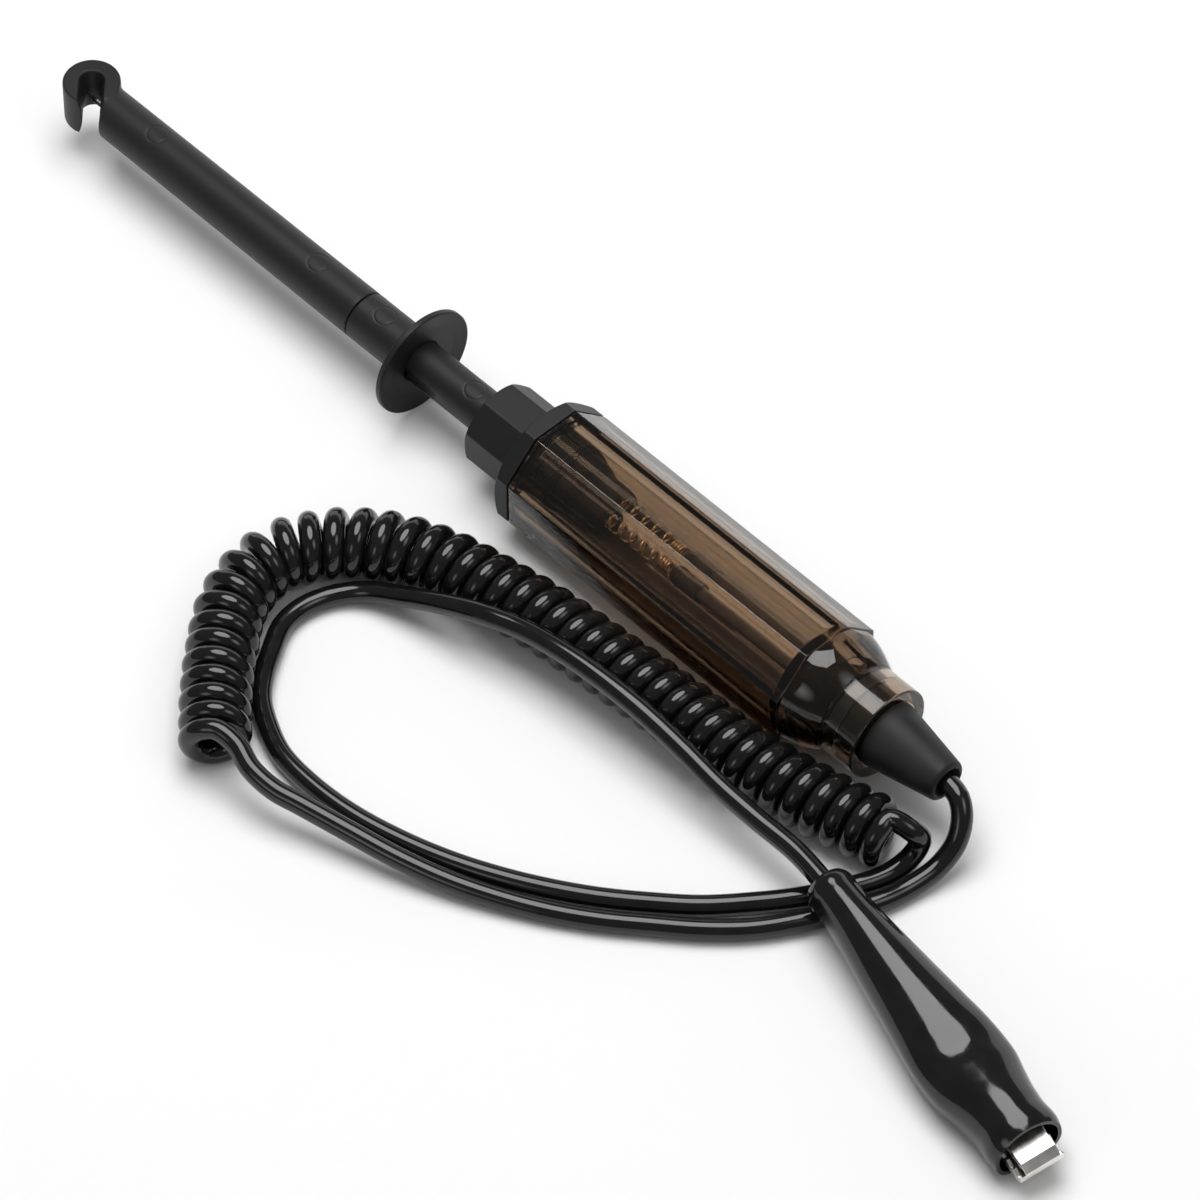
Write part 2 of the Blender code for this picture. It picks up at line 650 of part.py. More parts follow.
def make_lamp(brass, nickel, glass, gloss):
    """Double ended lamp, the front contact that it meets, and the lead's moulded end."""
    front = [
        (SPRING_SEAT_X, 0),
        (SPRING_SEAT_X, LAMP_BORE_R - GAP),
        (LAMP_X - GAP, LAMP_BORE_R - GAP),
        (LAMP_X - GAP, 0),
    ]
    turned("front_contact", front, brass, segments=24)
    well = LAMP_CAP_LEN - 0.8 * MM
    rim = LAMP_GLASS_R + GAP
    for name, x, way in (("lamp_cap_front", LAMP_X, 1), ("lamp_cap_rear", LAMP_END_X, -1)):
        cup = [
            (x, 0),
            (x, LAMP_CAP_R - 0.5 * MM),
            (x + way * 0.5 * MM, LAMP_CAP_R),
            (x + way * LAMP_CAP_LEN, LAMP_CAP_R),
            (x + way * LAMP_CAP_LEN, rim),
            (x + way * (LAMP_CAP_LEN - well), rim),
            (x + way * (LAMP_CAP_LEN - well), 0),
        ]
        turned(name, cup, nickel, segments=24)
    sunk = LAMP_CAP_LEN - well + GAP
    bulb = [
        (LAMP_X + sunk, 0),
        (LAMP_X + sunk, LAMP_GLASS_R - 0.6 * MM),
        (LAMP_X + sunk + 0.6 * MM, LAMP_GLASS_R),
        (LAMP_END_X - sunk - 0.6 * MM, LAMP_GLASS_R),
        (LAMP_END_X - sunk, LAMP_GLASS_R - 0.6 * MM),
        (LAMP_END_X - sunk, 0),
    ]
    turned("lamp_glass", bulb, glass, segments=24)
    hole = CORD_R + GAP
    terminal = [
        (TERMINAL_X, 0),
        (TERMINAL_X, TERMINAL_R - 1.0 * MM),
        (TERMINAL_X + 0.4 * MM, TERMINAL_R - 0.3 * MM),
        (TERMINAL_X + 1.0 * MM, TERMINAL_R),
        (TERMINAL_X + TERMINAL_HEAD, TERMINAL_R),
        (TERMINAL_X + TERMINAL_HEAD, hole + TERMINAL_WALL),
        (TERMINAL_X + TERMINAL_LEN, hole + TERMINAL_WALL),
        (TERMINAL_X + TERMINAL_LEN, hole),
        (TERMINAL_X + TERMINAL_HEAD - TERMINAL_WALL, hole),
        (TERMINAL_X + TERMINAL_HEAD - TERMINAL_WALL, 0),
    ]
    turned("lead_terminal", terminal, gloss, segments=24)


def clip_frame():
    """Frame of the clip: x along it from the boot's tail, z up."""
    return (
        Matrix.Translation(CLIP_TAIL)
        @ Matrix.Rotation(CLIP_TURN, 4, "Z")
        @ Matrix.Rotation(CLIP_TILT, 4, "Y")
        @ Matrix.Rotation(CLIP_ROLL, 4, "X")
    )


# Boot stations: share of the length, half width, half height
BOOT_FORM = (
    (0.000, 3.60, 3.60),
    (0.012, 3.90, 3.90),
    (0.100, 4.20, 4.15),
    (0.330, 5.90, 5.30),
    (0.560, 7.60, 6.30),
    (0.680, 8.15, 6.50),
    (0.740, 8.05, 6.40),
    (0.800, 7.35, 5.95),
    (0.850, 6.80, 5.55),
    (0.910, 6.55, 5.15),
    (0.985, 6.60, 5.10),
    (1.000, 6.30, 4.85),
)


def boot_size(share):
    """Half width and half height of the boot at a share of its length."""
    for near, far in zip(BOOT_FORM, BOOT_FORM[1:]):
        if share <= far[0]:
            t = (share - near[0]) / (far[0] - near[0])
            return [(a + (b - a) * t) * MM for a, b in zip(near[1:], far[1:])]
    return [v * MM for v in BOOT_FORM[-1][1:]]


def boot_square(share):
    """How square the boot's section is: round at its tail, fuller towards its mouth."""
    return 1.0 - 0.28 * min(1.0, share / 0.35)


def oval(x, half_w, half_h, count=24, square=1.0):
    """Ring of an oval section across the clip; a square below 1 fills out its corners."""
    ring = []
    for i in range(count):
        a = math.tau * i / count
        c, s = math.cos(a), math.sin(a)
        across = half_w * math.copysign(abs(c) ** square, c)
        up = half_h * math.copysign(abs(s) ** square, s)
        ring.append((x, across, up))
    return ring


def make_boot(mat):
    """Soft insulating boot: a long taper that swells, pinches and flares at its mouth."""
    frame = clip_frame()
    shell = [
        oval(share * BOOT_LEN, w * MM, h * MM, square=boot_square(share)) for share, w, h in BOOT_FORM
    ]
    obj = lofted("clip_boot", shell, frame, mat)
    room = []
    for share in (0.06, 0.16, 0.33, 0.5, 0.68, 0.8, 0.9, 1.02):
        w, h = boot_size(share)
        room.append(oval(share * BOOT_LEN, w - BOOT_WALL, h - BOOT_WALL, square=boot_square(share)))
    boolean(obj, lofted("boot_room_form", room, frame))
    hole = CORD_R + GAP
    passage = [oval(x, hole, hole, 16) for x in (-1 * MM, 0.1 * BOOT_LEN)]
    boolean(obj, lofted("boot_hole_form", passage, frame))
    return obj


def side_frame():
    """Clip frame turned so that an outline of (along, up) points is extruded across it."""
    return clip_frame() @ Matrix.Rotation(math.pi / 2, 4, "X")


def jaw_side(teeth_x, tip_x, level, depth):
    """Teeth along a jaw's edge, from the throat to the tip."""
    pitch = (tip_x - teeth_x) / TEETH
    points = []
    for i in range(TEETH):
        x = teeth_x + i * pitch
        points.append((x, level))
        points.append((x + pitch / 2, level + depth))
    points.append((tip_x, level))
    return points


def make_lower_jaw(mat):
    """Folded sheet jaw with two toothed walls, pivot ears and a crimp round the lead."""
    frame = side_frame()
    half = JAW_W / 2
    base = -JAW_RISE
    bite = -GAP / 2
    tip = JAW_TIP
    ear = PIVOT_UP + 2.2 * MM
    throat = PIVOT_AT + THROAT_AHEAD
    start = PIVOT_AT - EAR_BACK
    wall = [
        (start, base),
        (tip - 1.0 * MM, base),
        (tip, base + 1.0 * MM),
        *reversed(jaw_side(throat + 3 * MM, tip, bite, -TOOTH_DEPTH)),
        (throat, bite - 1.2 * MM),
        (PIVOT_AT + 2.4 * MM, ear),
        (PIVOT_AT - 2.4 * MM, ear),
        (PIVOT_AT - 6 * MM, base + 1.6 * MM),
        (start, base + 1.2 * MM),
    ]
    obj = prism("lower_jaw", wall, -half, half, frame, mat)
    room = [
        (start - 1 * MM, base + SHEET),
        (tip - SHEET, base + SHEET),
        (tip - SHEET, 4 * MM),
        (start - 1 * MM, 4 * MM),
    ]
    boolean(obj, prism("lower_room_form", room, -half + SHEET, half - SHEET, frame))
    bar = [
        (CRIMP_AT + 1 * MM, base + 0.05 * MM),
        (start + 2 * MM, base + 0.05 * MM),
        (start + 2 * MM, base + SHEET - 0.05 * MM),
        (CRIMP_AT + 1 * MM, base + SHEET - 0.05 * MM),
    ]
    boolean(obj, prism("crimp_neck_form", bar, -1.6 * MM, 1.6 * MM, frame), "UNION")
    hole = CORD_R + GAP
    ring = hole + SHEET
    crimp = [oval(x, ring, ring, 20) for x in (CRIMP_AT, CRIMP_AT + CRIMP_LEN)]
    boolean(obj, lofted("crimp_form", crimp, clip_frame()), "UNION")
    passage = [oval(x, hole, hole, 20) for x in (CRIMP_AT - 1 * MM, CRIMP_AT + CRIMP_LEN + 1 * MM)]
    boolean(obj, lofted("crimp_hole_form", passage, clip_frame()))
    pin = pivot_cylinder("lower_pivot_form", JAW_PIN_R + GAP, JAW_W)
    boolean(obj, pin)
    return obj


def pivot_cylinder(name, radius, half, mat=None):
    """Cylinder on the jaws' pivot, across the clip."""
    bm = bmesh.new()
    place = clip_frame() @ Matrix.Translation((PIVOT_AT, 0, PIVOT_UP)) @ Matrix.Rotation(math.pi / 2, 4, "X")
    bmesh.ops.create_cone(
        bm, cap_ends=True, segments=20, radius1=radius, radius2=radius, depth=2 * half, matrix=place
    )
    return finish_mesh(bm, name, mat)


def make_upper_jaw(mat):
    """Folded sheet jaw that closes on the lower one, with its lever inside the boot."""
    frame = side_frame()
    half = JAW_W / 2 - SHEET - GAP
    top = JAW_RISE
    bite = GAP / 2
    tip = JAW_TIP + 0.5 * MM
    throat = PIVOT_AT + THROAT_AHEAD
    lever = PIVOT_AT - LEVER_LEN
    wall = [
        *jaw_side(throat + 3 * MM, tip, bite, TOOTH_DEPTH),
        (tip, top - 1.6 * MM),
        (tip - 1.4 * MM, top - 0.2 * MM),
        (tip - 6 * MM, top),
        (PIVOT_AT + 9 * MM, top + 0.9 * MM),
        (PIVOT_AT, top + 1.3 * MM),
        (lever, top + 0.5 * MM),
        (lever, top - 0.6 * MM),
        (PIVOT_AT - 6 * MM, top - 0.8 * MM),
        (PIVOT_AT - 1.8 * MM, PIVOT_UP - 1.6 * MM),
        (PIVOT_AT + 1.8 * MM, PIVOT_UP - 1.6 * MM),
        (throat, bite + 1.2 * MM),
    ]
    obj = prism("upper_jaw", wall, -half, half, frame, mat)
    room = [
        (lever - 1 * MM, -4 * MM),
        (tip - SHEET, -4 * MM),
        (tip - SHEET, top - 1.6 * MM - SHEET),
        (tip - 1.6 * MM, top - 0.2 * MM - SHEET),
        (tip - 6 * MM, top - SHEET),
        (PIVOT_AT + 9 * MM, top + 0.9 * MM - SHEET),
        (PIVOT_AT, top + 1.3 * MM - SHEET),
        (lever - 1 * MM, top + 0.44 * MM - SHEET),
    ]
    boolean(obj, prism("upper_room_form", room, -half + SHEET, half - SHEET, frame))
    boolean(obj, pivot_cylinder("upper_pivot_form", JAW_PIN_R + GAP, JAW_W))
    return obj


def make_jaw_pin(mat):
    """Headed rivet through both jaws' ears."""
    obj = pivot_cylinder("jaw_pin", JAW_PIN_R, JAW_W / 2 + GAP + RIVET_HEAD_T - 0.1 * MM, mat)
    for side in (-1, 1):
        bm = bmesh.new()
        place = (
            clip_frame()
            @ Matrix.Translation((PIVOT_AT, side * (JAW_W / 2 + GAP + RIVET_HEAD_T / 2), PIVOT_UP))
            @ Matrix.Rotation(math.pi / 2, 4, "X")
        )
        bmesh.ops.create_cone(
            bm, cap_ends=True, segments=20, radius1=RIVET_HEAD_R, radius2=RIVET_HEAD_R,
            depth=RIVET_HEAD_T, matrix=place,
        )
        boolean(obj, finish_mesh(bm, f"rivet_head_form_{side}"), "UNION")
    return obj


def make_jaw_spring(mat):
    """Coil round the rivet that presses the jaws together."""
    width = JAW_W - 4 * SHEET - 4 * GAP - 2 * JAW_WIRE_R - 0.1 * MM
    stations = [-width / 2 + width * i / JAW_TURNS for i in range(JAW_TURNS + 1)]
    frame = clip_frame() @ Matrix.Translation((PIVOT_AT, 0, PIVOT_UP)) @ Matrix.Rotation(math.pi / 2, 4, "Z")
    return coil_spring("jaw_spring", stations, JAW_COIL_R, JAW_WIRE_R, mat, (0, 0, 0), frame)


# Cord routes, in millimetres, chosen by hand along the laid lead
COIL_ROUTE = (
    (16.7, -80.4), (14.8, -78.6), (10.9, -75.1), (7.4, -71.6), (4.1, -68.1), (1.1, -64.5),
    (-2.0, -60.8), (-4.5, -56.7), (-6.0, -52.6), (-6.7, -48.1), (-6.4, -44.2), (-5.0, -41.0),
    (-3.0, -37.4), (-0.3, -34.0), (2.8, -31.3), (6.4, -28.8), (15.0, -25.2), (25.8, -22.9),
    (34.2, -21.4), (46.0, -20.3), (65.7, -18.9), (80.4, -18.1), (95.0, -15.6), (108.3, -12.2),
)
LEAD_A_ROUTE = (
    (113.2, -0.6, 10.9), (115.6, -2.2, 8.9), (116.9, -4.8, 5.8), (117.0, -9.0, 3.2),
    (116.2, -14.7, 2.0), (114.8, -20.8, 2.0), (109.2, -32.2, 2.0), (104.5, -39.7, 2.0),
    (98.7, -46.0, 2.0), (92.2, -51.6, 2.0), (85.6, -57.0, 2.0), (78.6, -61.8, 2.1),
    (71.0, -66.1, 2.4), (63.1, -69.9, 3.0), (54.4, -73.2, 4.0), (45.3, -75.9, 5.2),
    (35.9, -78.6, 6.4), (31.2, -80.1, 7.2), (26.0, -82.1, 8.4), (21.9, -83.2, 9.6),
)
LEAD_B_ROUTE = (
    (112.2, -10.3, 9.3), (112.9, -9.2, 7.4), (112.9, -9.8, 5.2), (112.6, -11.8, 3.4),
    (112.0, -14.6, 2.3), (111.3, -17.2, 2.0), (109.9, -20.8, 2.0), (105.0, -29.8, 2.0),
    (100.5, -36.1, 2.0), (95.1, -42.6, 2.0), (89.0, -48.2, 2.0), (82.4, -53.6, 2.0),
    (75.3, -58.4, 2.0), (67.7, -62.7, 2.0), (59.6, -66.4, 2.0), (50.7, -69.4, 2.0),
    (40.7, -71.6, 2.0), (31.4, -72.2, 2.0), (23.2, -71.4, 2.0), (16.8, -68.8, 2.0),
    (12.1, -65.9, 2.0), (8.6, -62.2, 2.0), (5.6, -57.8, 2.0), (2.4, -52.0, 2.0),
    (2.0, -46.9, 2.0), (3.8, -41.4, 2.1), (7.5, -37.4, 2.9), (13.8, -34.7, 4.9),
    (21.8, -32.4, 8.0), (28.8, -30.5, 10.0), (36.6, -28.3, 10.9), (45.5, -27.2, 11.7),
    (54.9, -26.6, 11.9), (64.4, -26.3, 11.4), (74.0, -26.3, 10.1), (83.0, -26.6, 8.8),
    (91.7, -26.6, 8.2), (100.9, -26.6, 8.1),
)
CORD_STEP = 9.0 * MM
LEAD_IN = 2.0 * MM
LEAD_SPLIT = 3.0 * MM


def in_metres(route, height=None):
    """Route points as vectors in metres."""
    return [Vector((*p[:2], p[2] if height is None else height / MM)) * MM for p in route]


def make_cords(gloss):
    """Lead inside the handle, the two plain stretches outside it and the curly stretch."""
    split = CONE_X - LEAD_SPLIT
    rod("inner_lead", TERMINAL_X + TERMINAL_HEAD, split, CORD_R, gloss, segments=16)
    coil = smooth_points(in_metres(COIL_ROUTE, COIL_R + 0.05 * MM), CORD_STEP)
    tube("curly_cord", coil, COIL_R, gloss, 4)
    first = (coil[0] - coil[1]).normalized()
    last = (coil[-1] - coil[-2]).normalized()
    up = Vector((0, 0, COIL_R - CORD_R - 2 * GAP))
    leave = [Vector((x, 0, AXIS_Z)) for x in (split + GAP, CONE_X)]
    meet = coil[0] + first * GAP + up
    lead_a = [*leave, *in_metres(LEAD_A_ROUTE), meet + first * LEAD_IN, meet]
    tube("lead_a", smooth_points(lead_a, CORD_STEP), CORD_R, gloss, 2)
    frame = clip_frame()
    into = [frame @ Vector((x, 0, 0)) for x in (-1.0 * MM, CRIMP_AT + 2 * MM)]
    meet = coil[-1] + last * GAP + up
    lead_b = [meet, meet + last * LEAD_IN, *in_metres(LEAD_B_ROUTE), *into]
    tube("lead_b", smooth_points(lead_b, CORD_STEP), CORD_R, gloss, 2)


def main():
    clear_scene()
    black = material("black_plastic", (0.012, 0.012, 0.013), 0.45)
    smoke = material("smoke_plastic", (0.20, 0.12, 0.07), 0.08, transmission=0.9)
    rubber = material("black_rubber", (0.010, 0.010, 0.011), 0.6)
    gloss = material("gloss_black", (0.008, 0.008, 0.009), 0.12)
    brass = material("brass", (0.72, 0.50, 0.22), 0.3, metallic=1.0)
    steel = material("steel", (0.62, 0.62, 0.63), 0.25, metallic=1.0)
    nickel = material("nickel_sheet", (0.66, 0.66, 0.66), 0.22, metallic=1.0)
    glass = material("lamp_glass", (0.95, 0.95, 0.95), 0.02, transmission=1.0)
    make_hook_tube(black)
    make_guide_tube(black)
    make_front_cap(black)
    make_clear_body(smoke)
    make_strain_relief(rubber)
    make_flange_sleeve(black)
    make_needle_parts(brass, steel)
    make_springs(steel, brass)
    make_lamp(brass, nickel, glass, gloss)
    make_cords(gloss)
    make_boot(gloss)
    make_lower_jaw(nickel)
    make_upper_jaw(nickel)
    make_jaw_pin(steel)
    make_jaw_spring(steel)


main()
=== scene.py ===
"""Looks of a hook probe circuit tester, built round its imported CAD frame.

Each sub-assembly is a class that holds its sizes, builds its meshes with numpy and
dresses them. Sizes are in metres, and +X runs from the hook to the lead.
"""

import logging
import math
from dataclasses import dataclass, field
from enum import Enum

import bmesh
import bpy
import numpy as np
from mathutils import Matrix, Vector

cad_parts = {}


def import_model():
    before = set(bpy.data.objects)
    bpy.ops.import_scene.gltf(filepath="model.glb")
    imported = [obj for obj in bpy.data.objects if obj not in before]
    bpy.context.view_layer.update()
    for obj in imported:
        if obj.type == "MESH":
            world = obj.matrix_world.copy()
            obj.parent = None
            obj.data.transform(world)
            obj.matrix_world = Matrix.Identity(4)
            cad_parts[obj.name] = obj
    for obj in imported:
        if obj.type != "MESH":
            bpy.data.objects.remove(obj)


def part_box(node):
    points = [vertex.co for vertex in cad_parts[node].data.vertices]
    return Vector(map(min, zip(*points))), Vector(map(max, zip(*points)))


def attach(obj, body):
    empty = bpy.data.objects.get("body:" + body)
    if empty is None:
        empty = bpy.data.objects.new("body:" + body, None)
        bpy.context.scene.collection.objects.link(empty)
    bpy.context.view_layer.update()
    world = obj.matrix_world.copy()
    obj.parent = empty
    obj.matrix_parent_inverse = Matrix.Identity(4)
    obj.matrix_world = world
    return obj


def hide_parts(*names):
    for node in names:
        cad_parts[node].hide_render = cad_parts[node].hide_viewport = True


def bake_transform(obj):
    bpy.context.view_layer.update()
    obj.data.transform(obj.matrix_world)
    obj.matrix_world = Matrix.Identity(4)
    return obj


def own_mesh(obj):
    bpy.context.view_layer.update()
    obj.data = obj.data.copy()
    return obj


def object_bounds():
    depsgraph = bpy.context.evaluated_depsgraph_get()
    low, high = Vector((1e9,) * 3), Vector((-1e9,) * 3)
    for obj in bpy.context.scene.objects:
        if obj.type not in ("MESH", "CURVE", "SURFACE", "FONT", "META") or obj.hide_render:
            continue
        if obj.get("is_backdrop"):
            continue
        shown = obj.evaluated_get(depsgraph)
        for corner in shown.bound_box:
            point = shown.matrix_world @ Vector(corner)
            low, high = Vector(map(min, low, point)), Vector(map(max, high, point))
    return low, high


LOG = logging.getLogger("circuit_tester")
TAU = math.tau
MM = 0.001
Array = np.ndarray
Object = bpy.types.Object
Socket = bpy.types.NodeSocket
Rows = list[tuple[float, Array]]

# Sizes that more than one class reads
GAP = 0.3 * MM
AXIS_R = 0.001 * MM
HEAD_R = 5.2 * MM
TRAVEL = 12.0 * MM
BODY_FLATS = 22.8 * MM
BAND_LEN = 2.9 * MM
RIB_LEN = 2.2 * MM
RIB_SETBACK = 5.0 * MM
CORD_HOLE_R = 2.2 * MM


class Body(Enum):
    """Bodies of the frame that the pieces ride on."""

    HANDLE = "handle"
    SLIDER = "slider"
    CLIP_JAW = "clip_jaw"


class Slot(Enum):
    """Material slots of the record."""

    BLACK_PLASTIC = "black_plastic"
    SMOKE_PLASTIC = "smoke_plastic"
    BLACK_RUBBER = "black_rubber"
    GLOSS_BLACK = "gloss_black"
    BRASS = "brass"
    STEEL = "steel"
    NICKEL = "nickel"
    GLASS = "glass"


@dataclass(frozen=True)
class Stations:
    """Places along the tester where one piece ends and the next begins."""

    head: float
    seam: float
    flange: float
    collar: float
    body: float
    neck: float
    cone: float
    grommet: float
    axis_z: float

    @classmethod
    def from_frame(cls) -> "Stations":
        """Read the stations from the boxes of the frame's nodes.

        Returns:
            The stations in metres.
        """
        tube_low, tube_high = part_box("hook_tube")
        body_low, body_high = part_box("clear_body")
        grommet_low, grommet_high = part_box("strain_relief")
        return cls(
            head=tube_low.x + HEAD_R,
            seam=tube_high.x,
            flange=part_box("flange_sleeve")[1].x,
            collar=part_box("front_cap")[0].x,
            body=body_low.x - GAP,
            neck=body_high.x,
            cone=grommet_high.x,
            grommet=grommet_low.x,
            axis_z=(body_low.z + body_high.z) / 2,
        )


def linked(name: str, data: bpy.types.ID) -> Object:
    """Make an object round its data and link it to the scene."""
    obj = bpy.data.objects.new(name, data)
    bpy.context.collection.objects.link(obj)
    return obj


@dataclass
class Shape:
    """Points with four-sided and three-sided faces, before they become a mesh."""

    points: Array
    quads: Array
    tris: Array = field(default_factory=lambda: np.zeros((0, 3), int))

    @classmethod
    def from_rows(cls, points: Array, ring: bool = False) -> "Shape":
        """Join rows of points, each a closed outline, with four-sided faces.

        Args:
            points: Array of rows, columns and coordinates.
            ring: Whether the last row joins the first. Otherwise a fan closes each of them.

        Returns:
            The shape.
        """
        rows, columns = points.shape[:2]
        index = np.arange(rows * columns).reshape(rows, columns)
        index = np.hstack([index, index[:, :1]])
        if ring:
            index = np.vstack([index, index[:1]])
        corners = [index[:-1, :-1], index[:-1, 1:], index[1:, 1:], index[1:, :-1]]
        quads = np.stack(corners, -1).reshape(-1, 4)
        flat = points.reshape(-1, 3)
        if ring:
            return cls(flat, quads)
        first, last, hub = index[0], index[-1], np.full(columns, rows * columns)
        fans = [
            np.stack([first[1:], first[:-1], hub], 1),
            np.stack([last[:-1], last[1:], hub + 1], 1),
        ]
        flat = np.vstack([flat, points[0].mean(0), points[-1].mean(0)])
        return cls(flat, quads, np.concatenate(fans))

    def signed_volume(self) -> float:
        """Return the volume inside the faces, negative where they point inwards."""
        halves = [self.quads[:, [0, 1, 2]], self.quads[:, [0, 2, 3]], self.tris]
        a, b, c = self.points[np.concatenate(halves)].transpose(1, 0, 2)
        return float(np.einsum("ij,ij->i", a, np.cross(b, c)).sum() / 6)

    def to_object(self, name: str, sharp: float = 40.0) -> Object:
        """Make a mesh object whose faces point out, smooth but for its sharp edges.

        Args:
            name: Name of the object and its mesh.
            sharp: Angle in degrees above which an edge stays sharp.

        Returns:
            The linked object.
        """
        turn = -1 if self.signed_volume() < 0 else 1
        faces = self.quads[:, ::turn].tolist() + self.tris[:, ::turn].tolist()
        mesh = bpy.data.meshes.new(name)
        mesh.from_pydata(self.points.tolist(), [], faces)
        mesh.update()
        mesh.shade_smooth()
        mesh.set_sharp_from_angle(angle=math.radians(sharp))
        return linked(name, mesh)


def spokes(count: int) -> Array:
    """Return even angles of a full turn."""
    return np.linspace(0, TAU, count, endpoint=False)


def rounded(corners: list[tuple], steps: int = 5, loop: bool = False) -> Array:
    """Replace corners of an outline with arcs that touch both of their sides.

    Args:
        corners: Points as (x, r), with a third number where the corner has a radius.
        steps: Number of pieces in each arc.
        loop: Whether the outline closes on itself.

    Returns:
        Array of (x, r) points.
    """
    outline = []
    count = len(corners)
    for i, corner in enumerate(corners):
        here = np.array(corner[:2])
        if len(corner) < 3 or (not loop and i in (0, count - 1)):
            outline.append(here)
            continue
        radius = corner[2]
        before = np.array(corners[i - 1][:2]) - here
        after = np.array(corners[(i + 1) % count][:2]) - here
        before /= np.linalg.norm(before)
        after /= np.linalg.norm(after)
        half = math.acos(float(np.clip(before @ after, -1, 1))) / 2
        reach = radius / math.tan(half)
        middle = here + (before + after) / np.linalg.norm(before + after) * radius / math.sin(half)
        start = here + before * reach - middle
        end = here + after * reach - middle
        share = np.linspace(0, 1, steps + 1)[:, None]
        sweep = math.pi - 2 * half
        arc = (np.sin((1 - share) * sweep) * start + np.sin(share * sweep) * end) / math.sin(sweep)
        outline.extend(middle + arc)
    return supported(np.array(outline))


def supported(profile: Array) -> Array:
    """Add a point near each end of a profile's long straights, to keep their shading flat."""
    reach = 0.08 * MM
    pieces = [profile[:1]]
    for here, ahead in zip(profile[:-1], profile[1:]):
        run = float(np.linalg.norm(ahead - here))
        if run > 8 * reach:
            lead = (ahead - here) * reach / run
            pieces.append(np.array([here + lead, ahead - lead]))
        pieces.append(ahead[None])
    return np.concatenate(pieces)


def polar_grid(x: Array, radius: Array, angle: Array, axis_z: float) -> Array:
    """Grid of points round the axis, whose y and height follow the sine and the cosine."""
    along = x[:, None] + 0 * angle
    return np.stack([along, radius * np.sin(angle), axis_z + radius * np.cos(angle)], -1)


def revolved(profile: Array, axis_z: float, count: int = 160) -> Array:
    """Turn a profile of (x, r) points round the tester's axis, one row for each point."""
    return polar_grid(profile[:, 0], profile[:, 1:], spokes(count), axis_z)


def rescaled(points: Array, axis_z: float, scale: Array) -> Array:
    """Move points towards or away from the tester's axis, each by its own factor."""
    moved = points.copy()
    moved[..., 1] = points[..., 1] * scale
    moved[..., 2] = axis_z + (points[..., 2] - axis_z) * scale
    return moved


def pressed_rings(points: Array, axis_z: float, stations: tuple[float, ...]) -> Array:
    """Press the round marks of ejector pins into the top of a tube.

    A point moves towards the axis by a bell curve of its distance from a circle that is
    laid on the tube, so each mark is a fine ring with an untouched middle.

    Args:
        points: Grid or list of points in metres.
        axis_z: Height of the tube's axis.
        stations: Places of the marks along the tube.

    Returns:
        The moved points.
    """
    mark_r, line, depth, bore_r = 2.0 * MM, 0.13 * MM, 0.09 * MM, 3.5 * MM
    y, z = points[..., 1], points[..., 2] - axis_z
    radius = np.hypot(y, z)
    around = np.arctan2(y, z) * radius
    press = np.zeros_like(radius)
    for station in stations:
        away = np.hypot(points[..., 0] - station, around)
        press = press + depth * np.exp(-(((away - mark_r) / line) ** 2))
    scale = 1 - np.where(radius > bore_r, press, 0) / np.maximum(radius, MM)
    return rescaled(points, axis_z, scale)


def marked(outline: Array, axis_z: float, count: int, mark: float) -> Array:
    """Turn an outline and press one ejector pin's mark into it, on finer rows.

    Args:
        outline: Array of (x, r) points.
        axis_z: Height of the axis.
        count: Number of points in each row.
        mark: Station of the mark.

    Returns:
        Grid of points.
    """
    reach, step = 3 * MM, 0.12 * MM
    pieces = []
    for here, ahead in zip(outline[:-1], outline[1:]):
        pieces.append(here[None])
        low, high = max(mark - reach, here[0]), min(mark + reach, ahead[0])
        if high - low > 2 * step:
            x = np.arange(low + step, high - step / 2, step)
            t = (x - here[0]) / (ahead[0] - here[0])
            pieces.append(np.stack([x, here[1] + (ahead[1] - here[1]) * t], 1))
    fine = np.concatenate([*pieces, outline[-1:]])
    return pressed_rings(revolved(fine, axis_z, count), axis_z, (mark,))


def chords(path: Array) -> Array:
    """Return the distances between the points of a path."""
    return np.linalg.norm(np.diff(path, axis=0), axis=1)


def summed(values: Array) -> Array:
    """Return the running sum of values, from 0."""
    return np.concatenate([[0.0], np.cumsum(values)])


def headings(path: Array) -> Array:
    """Return the directions along a path, each of length 1."""
    ahead = np.gradient(path, axis=0)
    return ahead / np.linalg.norm(ahead, axis=1, keepdims=True)


def between(at: Array, places: Array, rows: Array) -> Array:
    """Read rows of three numbers at places between those that they are given for."""
    return np.stack([np.interp(at, places, rows[:, k]) for k in range(3)], 1)


def eased(knots: Array, values: Array, at: Array) -> Array:
    """Read a smooth line through table rows, as cubics that follow the table's slopes.

    Args:
        knots: Rising place of each row.
        values: The rows.
        at: Places to read.

    Returns:
        One row for each place.
    """
    slopes = np.gradient(values, knots, axis=0)
    i = np.clip(np.searchsorted(knots, at, side="right") - 1, 0, len(knots) - 2)
    width = (knots[i + 1] - knots[i])[:, None]
    s = np.clip((at - knots[i])[:, None] / width, 0, 1)
    return (
        values[i] * (2 * s**3 - 3 * s**2 + 1) + slopes[i] * width * (s**3 - 2 * s**2 + s)
        + values[i + 1] * (3 * s**2 - 2 * s**3) + slopes[i + 1] * width * (s**3 - s**2)
    )


